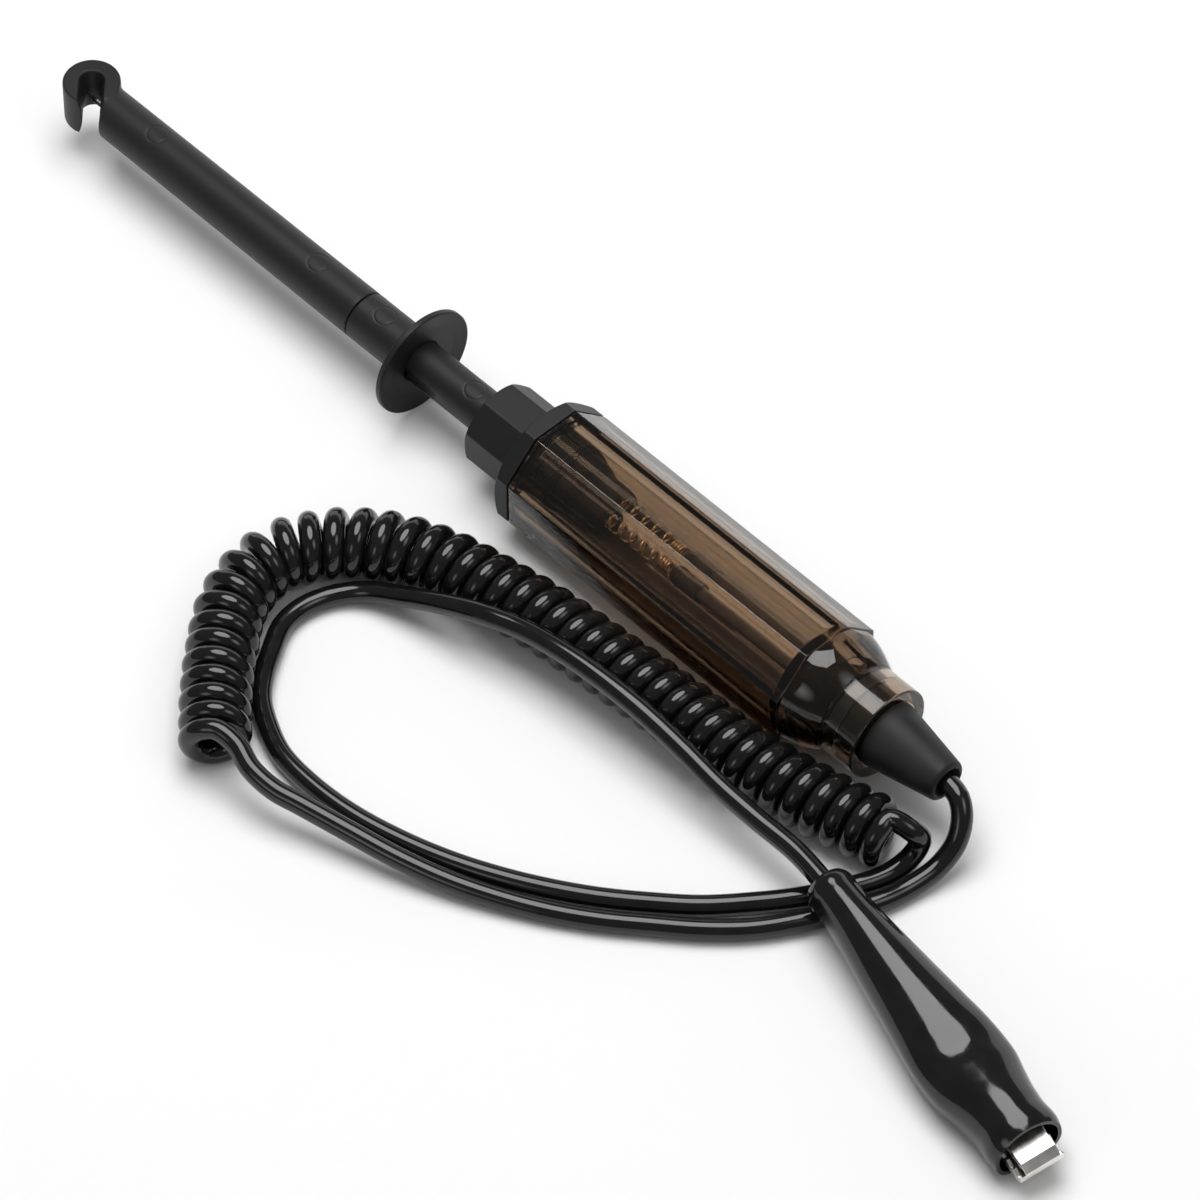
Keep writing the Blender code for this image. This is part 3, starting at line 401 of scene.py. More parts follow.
def smooth_curve(route: Array, step: float) -> Array:
    """Read evenly spaced points from a smooth curve, measured by the roots of its chords.

    Args:
        route: Points that the curve passes through.
        step: Distance between the points that are read.

    Returns:
        Array of points.
    """
    knots = summed(np.sqrt(chords(route)))
    curve = eased(knots, route, np.linspace(0, knots[-1], 40 * len(route)))
    run = summed(chords(curve))
    return between(np.linspace(0, run[-1], max(2, round(run[-1] / step)) + 1), run, curve)


def swept(path: Array, radius: float, sides: int) -> Array:
    """Carry a circle along a path, each ring turned from the last by the least turn.

    Args:
        path: Array of points.
        radius: Radius of the circle.
        sides: Number of points round it.

    Returns:
        Grid of points, one row for each path point.
    """
    ahead = headings(path)
    side = np.zeros_like(path)
    start = np.cross(ahead[0], (0.0, 0.0, 1.0))
    side[0] = start / np.linalg.norm(start)
    for i in range(1, len(path)):
        carried = side[i - 1] - ahead[i] * (side[i - 1] @ ahead[i])
        side[i] = carried / np.linalg.norm(carried)
    angle = spokes(sides)[None, :, None]
    other = np.cross(ahead, side)[:, None]
    return path[:, None] + radius * (np.cos(angle) * side[:, None] + np.sin(angle) * other)


class Graph:
    """Small builder for a material's node tree."""

    def __init__(self, name: str) -> None:
        """Start a material of that name with a Principled shader."""
        self.material = bpy.data.materials.new(name)
        self.material.use_nodes = True
        self.tree = self.material.node_tree
        self.shader = self.tree.nodes["Principled BSDF"]
        self.place = self.tree.nodes.new("ShaderNodeTexCoord").outputs["Object"]

    def node(self, kind: str, **inputs: object) -> bpy.types.Node:
        """Add a node and set its inputs; an underscore in a name stands for a space."""
        made = self.tree.nodes.new(kind)
        self.fill(made, inputs)
        return made

    def set(self, **inputs: object) -> None:
        """Set inputs of the shader; an underscore in a name stands for a space."""
        self.fill(self.shader, inputs)

    def fill(self, node: bpy.types.Node, inputs: dict) -> None:
        """Give each named input its constant, or link it where it is given a socket."""
        for name, value in inputs.items():
            target = node.inputs[name.replace("_", " ")]
            if isinstance(value, Socket):
                self.tree.links.new(value, target)
            else:
                target.default_value = value

    def noise(self, scale: float, detail: float, stretch: tuple | None = None) -> Socket:
        """Add a noise pattern on the object's own coordinates.

        Args:
            scale: Cycles for each metre.
            detail: Number of finer layers.
            stretch: Scale along each axis, where the pattern is drawn out.

        Returns:
            The pattern's value socket.
        """
        place = self.place
        if stretch is not None:
            place = self.node("ShaderNodeMapping", Vector=place, Scale=stretch).outputs["Vector"]
        made = self.node("ShaderNodeTexNoise", Scale=scale, Detail=detail, Vector=place)
        return made.outputs["Fac"]

    def remap(self, value: Socket, results: tuple, span: tuple = (0.3, 0.7)) -> Socket:
        """Carry a value over from one range to another.

        Args:
            value: Socket to read.
            results: Results at the ends of the span.
            span: Values that give them.

        Returns:
            The result's socket.
        """
        made = self.node("ShaderNodeMapRange", Value=value, From_Min=span[0], From_Max=span[1],
                         To_Min=results[0], To_Max=results[1])
        return made.outputs["Result"]

    def tones(self, pattern: Socket, dark: tuple, light: tuple) -> None:
        """Let a pattern vary the base colour between two tones."""
        ramp = self.node("ShaderNodeValToRGB", Fac=pattern)
        for element, place, tone in zip(ramp.color_ramp.elements, (0.3, 0.7), (dark, light)):
            element.position = place
            element.color = (*tone, 1)
        self.set(Base_Color=ramp.outputs["Color"])


@dataclass(frozen=True)
class Layer:
    """Noise pattern of a finish, with its bump's strength and height in metres."""

    scale: float
    detail: float
    strength: float = 0.0
    height: float = 0.0
    stretch: tuple | None = None


@dataclass(frozen=True)
class Finish:
    """Material whose noise layers vary its tone, its roughness and its skin.

    The bumps are stacked in the layers' order, and the last layer varies the roughness.
    """

    name: str
    slot: Slot
    rough: tuple[float, float]
    layers: tuple[Layer, ...]
    tones: tuple = ()
    tone_layer: int = -1
    settings: dict = field(default_factory=dict)
    depth: tuple = ()
    density: float = 0.0

    def material(self) -> bpy.types.Material:
        """Return the material, made where it isn't there yet."""
        return bpy.data.materials.get(self.name) or self.make()

    def make(self) -> bpy.types.Material:
        """Build the material.

        Returns:
            The material.
        """
        graph = Graph(self.name)
        graph.set(**self.settings)
        patterns = [graph.noise(layer.scale, layer.detail, layer.stretch) for layer in self.layers]
        if self.tones:
            graph.tones(patterns[self.tone_layer], *self.tones)
        graph.set(Roughness=graph.remap(patterns[-1], self.rough))
        bump = {}
        for pattern, layer in zip(patterns, self.layers):
            if layer.strength > 0:
                made = graph.node("ShaderNodeBump", Strength=layer.strength, Distance=layer.height,
                                  Height=pattern, **bump)
                bump = {"Normal": made.outputs["Normal"]}
        graph.set(**bump)
        if self.depth:
            kind = "ShaderNodeVolumeAbsorption"
            inside = graph.node(kind, Color=self.depth, Density=self.density).outputs["Volume"]
            graph.fill(graph.tree.nodes["Material Output"], {"Volume": inside})
        return graph.material


def rubber(name: str, slot: Slot, dark: tuple, light: tuple, shine: float) -> Finish:
    """Describe a matte rubber with a dull bloom."""
    layers = (Layer(4200, 3, 0.4, 0.015 * MM), Layer(160, 5, 0.2, 0.06 * MM))
    settings = {"Specular_IOR_Level": shine}
    return Finish(name, slot, (0.46, 0.66), layers, (dark, light), settings=settings)


def metal(name: str, slot: Slot, rough: tuple, tones: tuple, drawn: tuple = (0.05, 1, 1)) -> Finish:
    """Describe a metal with fine drawn scratches and uneven brightness."""
    layers = (Layer(5200, 2, 0.25, 0.006 * MM, drawn), Layer(420, 4, 0.2, 0.02 * MM))
    return Finish(name, slot, rough, layers, tones, settings={"Metallic": 1.0})


# Satin moulded plastic with a fine spark-eroded grain and faint flow marks
PLASTIC = Finish(
    "moulded_black", Slot.BLACK_PLASTIC, (0.40, 0.54),
    (Layer(5200, 2, 0.35, 0.012 * MM), Layer(55, 4, 0.12, 0.05 * MM, (0.35, 1, 1))),
    ((0.0075, 0.0075, 0.0080), (0.0125, 0.0125, 0.0132)), settings={"Specular_IOR_Level": 0.29},
)
# Thick clear plastic with drawn flow lines along the handle
SMOKE = Finish(
    "smoke_brown_clear", Slot.SMOKE_PLASTIC, (0.015, 0.05),
    (Layer(900, 3, 0.10, 0.02 * MM, (0.012, 1, 1)), Layer(90, 3, 0.08, 0.06 * MM)),
    settings={"Base_Color": (0.77, 0.66, 0.55, 1.0), "Transmission_Weight": 1.0, "IOR": 1.49},
    depth=(0.64, 0.57, 0.49, 1.0), density=390.0,
)
# Glossy soft vinyl with a slightly uneven skin
VINYL = Finish(
    "glossy_black_vinyl", Slot.GLOSS_BLACK, (0.07, 0.14),
    (Layer(240, 3, 0.10, 0.05 * MM), Layer(2600, 2, 0.04, 0.01 * MM), Layer(520, 3)),
    ((0.0035, 0.0035, 0.0037), (0.0065, 0.0065, 0.0068)), tone_layer=0,
)
GLASS = Finish(
    "lamp_clear_glass", Slot.GLASS, (0.0, 0.03), (Layer(350, 2, 0.15, 0.03 * MM),),
    settings={"Base_Color": (0.96, 0.97, 0.96, 1.0), "Transmission_Weight": 1.0, "IOR": 1.5},
)
RUBBER = rubber("matt_black_rubber", Slot.BLACK_RUBBER,
                (0.0060, 0.0060, 0.0063), (0.0135, 0.0135, 0.0138), 0.32)
SHEATH = rubber("dull_inner_sheath", Slot.GLOSS_BLACK,
                (0.115, 0.098, 0.080), (0.165, 0.142, 0.118), 0.5)
FERRULE = rubber("moulded_lead_end", Slot.GLOSS_BLACK,
                 (0.045, 0.039, 0.033), (0.070, 0.061, 0.052), 0.5)
BRASS = metal("turned_brass", Slot.BRASS, (0.14, 0.26), ((0.68, 0.54, 0.32), (0.94, 0.80, 0.54)))
STEEL = metal("ground_steel", Slot.STEEL, (0.20, 0.34), ((0.42, 0.42, 0.43), (0.62, 0.62, 0.63)))
NICKEL = metal("nickel_plate", Slot.NICKEL, (0.28, 0.40),
               ((0.72, 0.70, 0.67), (0.88, 0.86, 0.83)), (1, 0.05, 1))


def dress(obj: Object, finish: Finish, body: Body | None, *nodes: str) -> Object:
    """Give a piece its finish and its body, and hide the CAD nodes that it stands for.

    Args:
        obj: The finished piece.
        finish: Its finish, which names the record's slot.
        body: The body that it rides on, or None where it bends between two.
        *nodes: CAD nodes that it replaces.

    Returns:
        The piece.
    """
    obj.data.materials.clear()
    obj.data.materials.append(finish.material())
    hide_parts(*nodes)
    if body is not None:
        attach(obj, body.value)
    LOG.info("%s: %d faces", obj.name, len(obj.data.polygons))
    return obj


def carried_over(node: str, name: str, finish: Finish, body: Body, edge: float) -> Object:
    """Copy a CAD node, close its loose triangles, shade it smoothly and dress it.

    Args:
        node: Name of the CAD node.
        name: Name of the piece.
        finish: Its finish.
        body: The body that it rides on.
        edge: Width of a bevel on its sharp edges, or 0 for none.

    Returns:
        The piece.
    """
    merge, flat, sharp, bevelled = 2e-6, math.radians(0.5), math.radians(30), math.radians(35)
    bm = bmesh.new()
    bm.from_mesh(bpy.data.objects[node].data)
    bmesh.ops.remove_doubles(bm, verts=bm.verts, dist=merge)
    bmesh.ops.dissolve_limit(bm, angle_limit=flat, use_dissolve_boundaries=False,
                             verts=bm.verts, edges=bm.edges)
    mesh = bpy.data.meshes.new(name)
    bm.to_mesh(mesh)
    bm.free()
    mesh.shade_smooth()
    mesh.set_sharp_from_angle(angle=sharp)
    obj = linked(name, mesh)
    if edge > 0:
        bevel = obj.modifiers.new("Edge", "BEVEL")
        bevel.width = edge
        bevel.segments = 2
        bevel.limit_method = "ANGLE"
        bevel.angle_limit = bevelled
        bevel.harden_normals = True
    return dress(obj, finish, body, node)


def combine(obj: Object, form: Object, operation: str = "DIFFERENCE") -> None:
    """Add a boolean modifier that joins a form to a piece or cuts it out."""
    modifier = obj.modifiers.new("Form", "BOOLEAN")
    modifier.operation = operation
    modifier.object = form


def modified_mesh(obj: Object, *forms: Object) -> bpy.types.Mesh:
    """Make a mesh of an object with its modifiers, then remove the forms that these use."""
    bpy.context.view_layer.update()
    graph = bpy.context.evaluated_depsgraph_get()
    mesh = bpy.data.meshes.new_from_object(obj.evaluated_get(graph))
    for form in forms:
        bpy.data.objects.remove(form, do_unlink=True)
    return mesh


def cut_through(obj: Object, bar: Object) -> None:
    """Cut a bar's form out of a piece and remove the bar."""
    combine(obj, bar)
    mesh = modified_mesh(obj, bar)
    obj.modifiers.clear()
    obj.data = mesh


@dataclass
class ProbeTube:
    """Long probe tube with its hook head, moulded in one piece."""

    at: Stations
    front_r: float = 4.45 * MM
    rear_r: float = 4.6 * MM
    head_round: float = 0.3 * MM
    throat: float = 3.1 * MM
    mouth: float = 4.7 * MM
    mouth_turn: float = math.radians(-45)
    needle_bore_r: float = 0.9 * MM
    needle_bore_len: float = 4.6 * MM
    rod_bore_r: float = 1.9 * MM
    socket_r: float = 3.5 * MM
    socket_len: float = 10.3 * MM
    voxel: float = 0.22 * MM
    true_from: float = 0.8 * MM
    true_over: float = 1.5 * MM
    seam_round: float = 0.35 * MM
    seam_over: float = 0.3 * MM
    outside_r: float = 4.0 * MM
    marks: tuple = (-87.1 * MM, -45.1 * MM)

    def tube_start(self) -> float:
        """Station where the tube leaves the head."""
        return self.at.head + 0.6 * HEAD_R

    def tube_radius(self, x: Array) -> Array:
        """Radius of the tube, which grows evenly from behind the head to the seam."""
        share = np.clip((x - self.tube_start()) / (self.at.seam - self.tube_start()), 0, 1)
        return self.front_r + (self.rear_r - self.front_r) * share

    def tube_form(self) -> Object:
        """Solid tapered tube that starts inside the head."""
        front = self.at.head + 0.3 * HEAD_R
        profile = rounded([
            (front, AXIS_R), (front, self.front_r - 0.3 * MM), (self.tube_start(), self.front_r),
            (self.at.seam, self.rear_r), (self.at.seam, AXIS_R),
        ])
        return Shape.from_rows(revolved(profile, self.at.axis_z)).to_object("tube_form")

    def head_form(self) -> Object:
        """Upright round head: a rounded outline of (height, radius) turned round its own axis."""
        half = self.front_r
        outline = rounded([
            (-half, AXIS_R), (-half, HEAD_R, self.head_round), (half, HEAD_R, self.head_round),
            (half, AXIS_R),
        ])
        angle = spokes(192)
        height, radius = outline[:, :1], outline[:, 1:]
        x, y = self.at.head + radius * np.cos(angle), radius * np.sin(angle)
        points = np.stack([x, y, self.at.axis_z + height + 0 * angle], -1)
        return Shape.from_rows(points).to_object("head_form")

    def throat_form(self) -> Object:
        """Cutter for the throat: a keyhole outline that is narrowest at half height.

        Its half width is half the throat plus a share of the mouth's extra width that grows
        with the square of the height above or below the middle.
        """
        level = np.linspace(-1.25, 1.25, 41)
        half = (self.throat + (self.mouth - self.throat) * np.minimum(level**2, 1.3)) / 2
        turn = np.linspace(math.pi / 2, 3 * math.pi / 2, 33)
        u = np.concatenate([np.cos(turn), [0.0, 0.0]])[None] * half[:, None]
        v = np.concatenate([np.sin(turn), [-1.0, 1.0]])[None] * half[:, None]
        u[:, -2:] = 3 * HEAD_R
        cos, sin = math.cos(self.mouth_turn), math.sin(self.mouth_turn)
        z = self.at.axis_z + self.front_r * level[:, None] + 0 * u
        points = np.stack([self.at.head + u * cos - v * sin, u * sin + v * cos, z], -1)
        return Shape.from_rows(points).to_object("throat_form")

    def bore_form(self) -> Object:
        """Cutter for the needle's bore, the rod's bore and the socket at the seam."""
        bore_x = self.at.head + self.needle_bore_len + self.throat / 2
        socket_x = self.at.seam - self.socket_len
        profile = np.array([
            (self.at.head, AXIS_R), (self.at.head, self.needle_bore_r),
            (bore_x, self.needle_bore_r), (bore_x, self.rod_bore_r),
            (socket_x, self.rod_bore_r), (socket_x, self.socket_r),
            (self.at.seam + MM, self.socket_r), (self.at.seam + MM, AXIS_R),
        ])
        return Shape.from_rows(revolved(profile, self.at.axis_z, 48)).to_object("bore_form")

    def build(self) -> Object:
        """Join and cut the forms, round every edge a little and set the tube true again.

        The voxel remesh and the smoothing round the edges as the mould does. The points of
        the tube behind the head are then set back to its exact radius.

        Returns:
            The tube.
        """
        base = self.tube_form()
        head, throat, bore = self.head_form(), self.throat_form(), self.bore_form()
        combine(base, head, "UNION")
        combine(base, throat)
        combine(base, bore)
        remesh = base.modifiers.new("Skin", "REMESH")
        remesh.mode = "VOXEL"
        remesh.voxel_size = self.voxel
        base.modifiers.new("Soften", "SMOOTH").iterations = 4
        mesh = modified_mesh(base, base, head, throat, bore)
        points = np.array([vertex.co for vertex in mesh.vertices])
        quads = np.array([face.vertices for face in mesh.polygons])
        bpy.data.meshes.remove(mesh)
        x = points[:, 0]
        radius = np.hypot(points[:, 1], points[:, 2] - self.at.axis_z)
        behind = np.clip((x - self.at.head - HEAD_R - self.true_from) / self.true_over, 0, 1)
        ahead = np.clip((self.at.seam - self.seam_round - x) / self.seam_over, 0, 1)
        share = behind * ahead * (radius > self.outside_r)
        scale = 1 + share * (self.tube_radius(x) / np.maximum(radius, MM) - 1)
        points = pressed_rings(rescaled(points, self.at.axis_z, scale), self.at.axis_z, self.marks)
        obj = Shape(points, quads).to_object("probe_tube", sharp=80)
        return dress(obj, PLASTIC, Body.HANDLE, "hook_tube")


@dataclass
class GuideTube:
    """Narrow tube between the seam and the front cap, slotted for the cross pin."""

    at: Stations
    outer_r: float = 4.0 * MM
    bore_r: float = 2.5 * MM
    spigot_r: float = 3.2 * MM
    spigot_bore_r: float = 1.9 * MM
    spigot_len: float = 10.0 * MM
    pin_r: float = 1.2 * MM
    pin_setback: float = 2.1 * MM
    mark: float = -5.2 * MM

    def slot_bar(self) -> Object:
        """Cutter for the slot: a bar with round ends across the tube."""
        turn = np.linspace(math.pi / 2, 3 * math.pi / 2, 13)
        start = self.at.seam + self.pin_setback
        across, up = self.pin_r * np.cos(turn), self.pin_r * np.sin(turn)
        x = np.concatenate([start + across, start + TRAVEL - across])
        z = np.concatenate([up, -up]) + self.at.axis_z
        y = np.array([-3.0, 3.0])[:, None] * self.outer_r
        points = np.stack([x + 0 * y, y + 0 * x, z + 0 * y], -1)
        return Shape.from_rows(points).to_object("slot_bar")

    def build(self) -> Object:
        """Turn the stepped tube and cut its slot."""
        end = self.at.body - BAND_LEN / 2
        front, seam = self.at.seam - self.spigot_len, self.at.seam
        outline = rounded([
            (front, self.spigot_bore_r), (front, self.spigot_r, 0.2 * MM),
            (seam + GAP, self.spigot_r), (seam + GAP, self.outer_r, 0.15 * MM),
            (end, self.outer_r, 0.15 * MM), (end, self.bore_r),
            (seam - GAP, self.bore_r), (seam - GAP, self.spigot_bore_r),
        ], loop=True)
        points = marked(outline, self.at.axis_z, 200, self.mark)
        obj = Shape.from_rows(points, ring=True).to_object("slotted_guide_tube")
        cut_through(obj, self.slot_bar())
        return dress(obj, PLASTIC, Body.HANDLE, "guide_tube")


@dataclass
class FlangeSleeve:
    """Sliding sleeve that ends in a thin dished flange."""

    at: Stations
    bore_r: float = 4.12 * MM
    outer_r: float = 4.6 * MM
    flange_r: float = 10.45 * MM
    flange_t: float = 1.3 * MM
    dish: float = 0.7 * MM
    dish_w: float = 2.6 * MM
    rim: float = 0.3 * MM
    mark: float = -28.0 * MM

    def build(self) -> Object:
        """Turn the sleeve, its filleted root, its rounded rim and its dished rear face."""
        start, rear = self.at.seam + GAP, self.at.flange
        front = rear - self.flange_t
        outline = rounded([
            (start, self.bore_r), (start, self.outer_r, 0.12 * MM),
            (front - 0.05 * MM, self.outer_r, 0.9 * MM),
            (front, self.flange_r, self.rim), (rear, self.flange_r, self.rim),
            (rear - self.dish * 0.75, self.outer_r + self.dish_w, 2.0 * MM),
            (rear - self.dish, self.bore_r, 0.1 * MM),
        ], steps=7, loop=True)
        points = marked(outline, self.at.axis_z, 224, self.mark)
        obj = Shape.from_rows(points, ring=True).to_object("thumb_flange_sleeve", sharp=50)
        return dress(obj, PLASTIC, Body.SLIDER, "flange_sleeve")


@dataclass
class Octagon:
    """Eight-sided section that rests on a flat, with rounded corners."""

    corner: float = 0.55 * MM
    flat_steps: int = 18
    arc_steps: int = 6

    def arc_start(self, flats: float) -> float:
        """Angle from a flat's middle to the start of the corner's arc."""
        return math.atan2((flats / 2 - self.corner) * math.tan(TAU / 16), flats / 2)

    def angles(self, flats: float) -> Array:
        """Angles round a section with that distance across its flats, close at its corners."""
        edge = self.arc_start(flats)
        flat = np.linspace(-edge, edge, self.flat_steps, endpoint=False)
        arc = np.linspace(edge, TAU / 8 - edge, self.arc_steps, endpoint=False)
        return (np.concatenate([flat, arc])[None] + np.arange(8)[:, None] * TAU / 8).ravel()

    def radius(self, angle: Array, flats: float) -> Array:
        """Distance from the axis to the section's edge at each angle.

        On a flat it is half the distance across flats over the cosine of the angle from
        the flat's middle. Near a corner it reaches to the arc round the inner corner.
        """
        off = np.abs((angle + TAU / 16) % (TAU / 8) - TAU / 16)
        away = TAU / 16 - off
        reach = (flats / 2 - self.corner) / math.cos(TAU / 16)
        bend = np.maximum(self.corner**2 - (reach * np.sin(away)) ** 2, 0)
        on_arc = off > self.arc_start(flats)
        return np.where(on_arc, reach * np.cos(away) + np.sqrt(bend), flats / 2 / np.cos(off))

    def edge_rows(self, angle: Array, flats: float, face: float, size: float) -> Rows:
        """Rows of a rounded edge that ends at a face.

        Args:
            angle: Angles round the section.
            flats: Distance across flats.
            face: Station of the face.
            size: Radius of the edge, negative where the block lies behind the face.

        Returns:
            Station and radii of each row, towards the face.
        """
        return [
            (face - size * (1 - math.sin(t)),
             self.radius(angle, flats - 2 * abs(size) * (1 - math.cos(t))))
            for t in np.linspace(0, math.pi / 2, 5)
        ]


def round_rows(profile: Array | list, angle: Array) -> Rows:
    """Give each (x, r) point of a profile the same radius at every angle."""
    return [(float(x), np.full(angle.size, r)) for x, r in profile]


def ring_of(rows: Rows, angle: Array, axis_z: float) -> Shape:
    """Join rows of radii round the axis, the last with the first."""
    x, radii = np.array([row[0] for row in rows]), np.array([row[1] for row in rows])
    return Shape.from_rows(polar_grid(x, radii, angle, axis_z), ring=True)


def soft_smaller(wide: Array, narrow: float, fillet: float) -> Array:
    """Smaller of two radii at each angle, with a fine fillet where they meet.

    The second one's share grows evenly from 0 to 1 while the first passes it by the
    fillet on each side, and the fillet times the share times its rest is taken off.
    """
    share = np.clip(0.5 + (wide - narrow) / (2 * fillet), 0, 1)
    return wide + (narrow - wide) * share - fillet * share * (1 - share)


@dataclass
class FrontCap:
    """Octagonal collar and band, with the ribbed plug and the lamp's nose behind them."""

    at: Stations
    section: Octagon
    collar_flats: float = 15.2 * MM
    collar_cone_r: float = 7.5 * MM
    band_cone_r: float = 11.3 * MM
    edge: float = 0.14 * MM
    bevel: float = 0.15 * MM
    chamfer: float = 0.25 * MM
    guide_r: float = 4.3 * MM
    plug_len: float = 6.0 * MM
    plug_r: float = 8.2 * MM
    core_r: float = 6.5 * MM
    ring_len: float = 0.9 * MM
    rib_count: int = 4
    rib_w: float = 2.2 * MM
    window_w: float = 2.2 * MM
    nose_len: float = 10.0 * MM
    nose_r: float = 6.2 * MM
    tip_r: float = 4.6 * MM
    lamp_r: float = 3.5 * MM

    def ribs(self, angle: Array) -> Array:
        """Radius of the plug: ribs with soft sides stand on the core, one of them on top."""
        pitch = TAU / self.rib_count
        off = (angle + pitch / 2) % pitch - pitch / 2
        side = (self.rib_w / 2 - np.abs(np.sin(off)) * self.plug_r) / (0.25 * MM)
        share = 1 / (1 + np.exp(-4 * np.clip(side, -4, 4)))
        return self.core_r + (self.plug_r - 0.2 * MM - self.core_r) * share

    def block_rows(self, angle: Array, start: float, end: float, flats: float,
                   front_r: float) -> Rows:
        """Rows of an octagonal block whose front edge is turned to a cone, as a nut's is.

        The radius is the smaller of the section's and the cone's, so that each flat's
        front edge is an arc.

        Args:
            angle: Angles round the section.
            start: Station of the front face.
            end: Station of the rear face.
            flats: Distance across flats.
            front_r: Radius of the cone at the front face.

        Returns:
            Station and radii of each row.
        """
        octagon = self.section.radius(angle, flats)
        lip, lip_run, slope, fillet = 0.12 * MM, 0.05 * MM, 1.3, 0.08 * MM
        rows = []
        rear = end - start - np.array([0.5, 0.25]) * MM
        for x in np.concatenate([np.linspace(0, 1.1 * MM, 30), rear]):
            cone = front_r + lip * (1 - math.exp(-x / lip_run)) + slope * x
            rows.append((start + x, soft_smaller(octagon, cone, fillet)))
        return rows + self.section.edge_rows(angle, flats, end, self.edge)[1:]

    def nose(self, start: float, seat: float) -> Array:
        """Profile of the nose from the plug's end to its tip, and back to the lamp's seat."""
        tip = start + self.nose_len
        return rounded([
            (start, self.plug_r - 0.2 * MM), (start, self.nose_r + 0.45 * MM, 0.3 * MM),
            (start + 0.26 * self.nose_len, self.nose_r + 0.1 * MM, 1.2 * MM),
            (start + 0.44 * self.nose_len, self.tip_r + 0.2 * MM, 1.4 * MM),
            (tip, self.tip_r - 0.1 * MM, 1.3 * MM), (tip, self.lamp_r),
            (seat, self.lamp_r), (seat, self.guide_r),
        ], steps=7)

    def window_bar(self, turn: float) -> Object:
        """Flat bar across the plug at a turn, which cuts two windows between its ribs."""
        start = self.at.body + 0.8 * MM
        end = self.at.body + self.plug_len - self.ring_len - 0.6 * MM
        half = self.window_w / 2
        x = np.array([start, end, end, start])
        across = np.array([-half, -half, half, half])
        away = np.array([-1.0, 1.0])[:, None] * (self.plug_r + MM)
        cos, sin = math.cos(turn), math.sin(turn)
        y, z = across * cos + away * sin, self.at.axis_z - across * sin + away * cos
        return Shape.from_rows(np.stack([x + 0 * away, y, z], -1)).to_object("window_bar")

    def build(self) -> Object:
        """Carry the section along the cap from its front bore to the nose and back inside.

        Returns:
            The cap.
        """
        flats = (BODY_FLATS, self.collar_flats)
        angle = np.unique(np.concatenate([self.section.angles(each) for each in flats]).round(5))
        front, body, lead = self.at.collar, self.at.body, self.chamfer
        band = body - BAND_LEN
        plug_end = body + self.plug_len
        ring = plug_end - self.ring_len
        under = self.plug_r - self.bevel
        rows = round_rows([(front + lead, self.guide_r), (front, self.guide_r + lead)], angle)
        rows += self.block_rows(angle, front, band, self.collar_flats, self.collar_cone_r)
        rows += self.block_rows(angle, band - lead, body, BODY_FLATS, self.band_cone_r)
        rows += [(body, self.ribs(angle)), (ring, self.ribs(angle))]
        rows += round_rows([
            (ring, under), (ring + self.bevel, self.plug_r), (plug_end - self.bevel, self.plug_r),
            (plug_end, under), *self.nose(plug_end, band + BAND_LEN / 2 + GAP),
        ], angle)
        obj = ring_of(rows, angle, self.at.axis_z).to_object("octagon_end_cap", sharp=32)
        for turn in (TAU / 8, 3 * TAU / 8):
            cut_through(obj, self.window_bar(turn))
        return dress(obj, PLASTIC, Body.HANDLE, "front_cap")


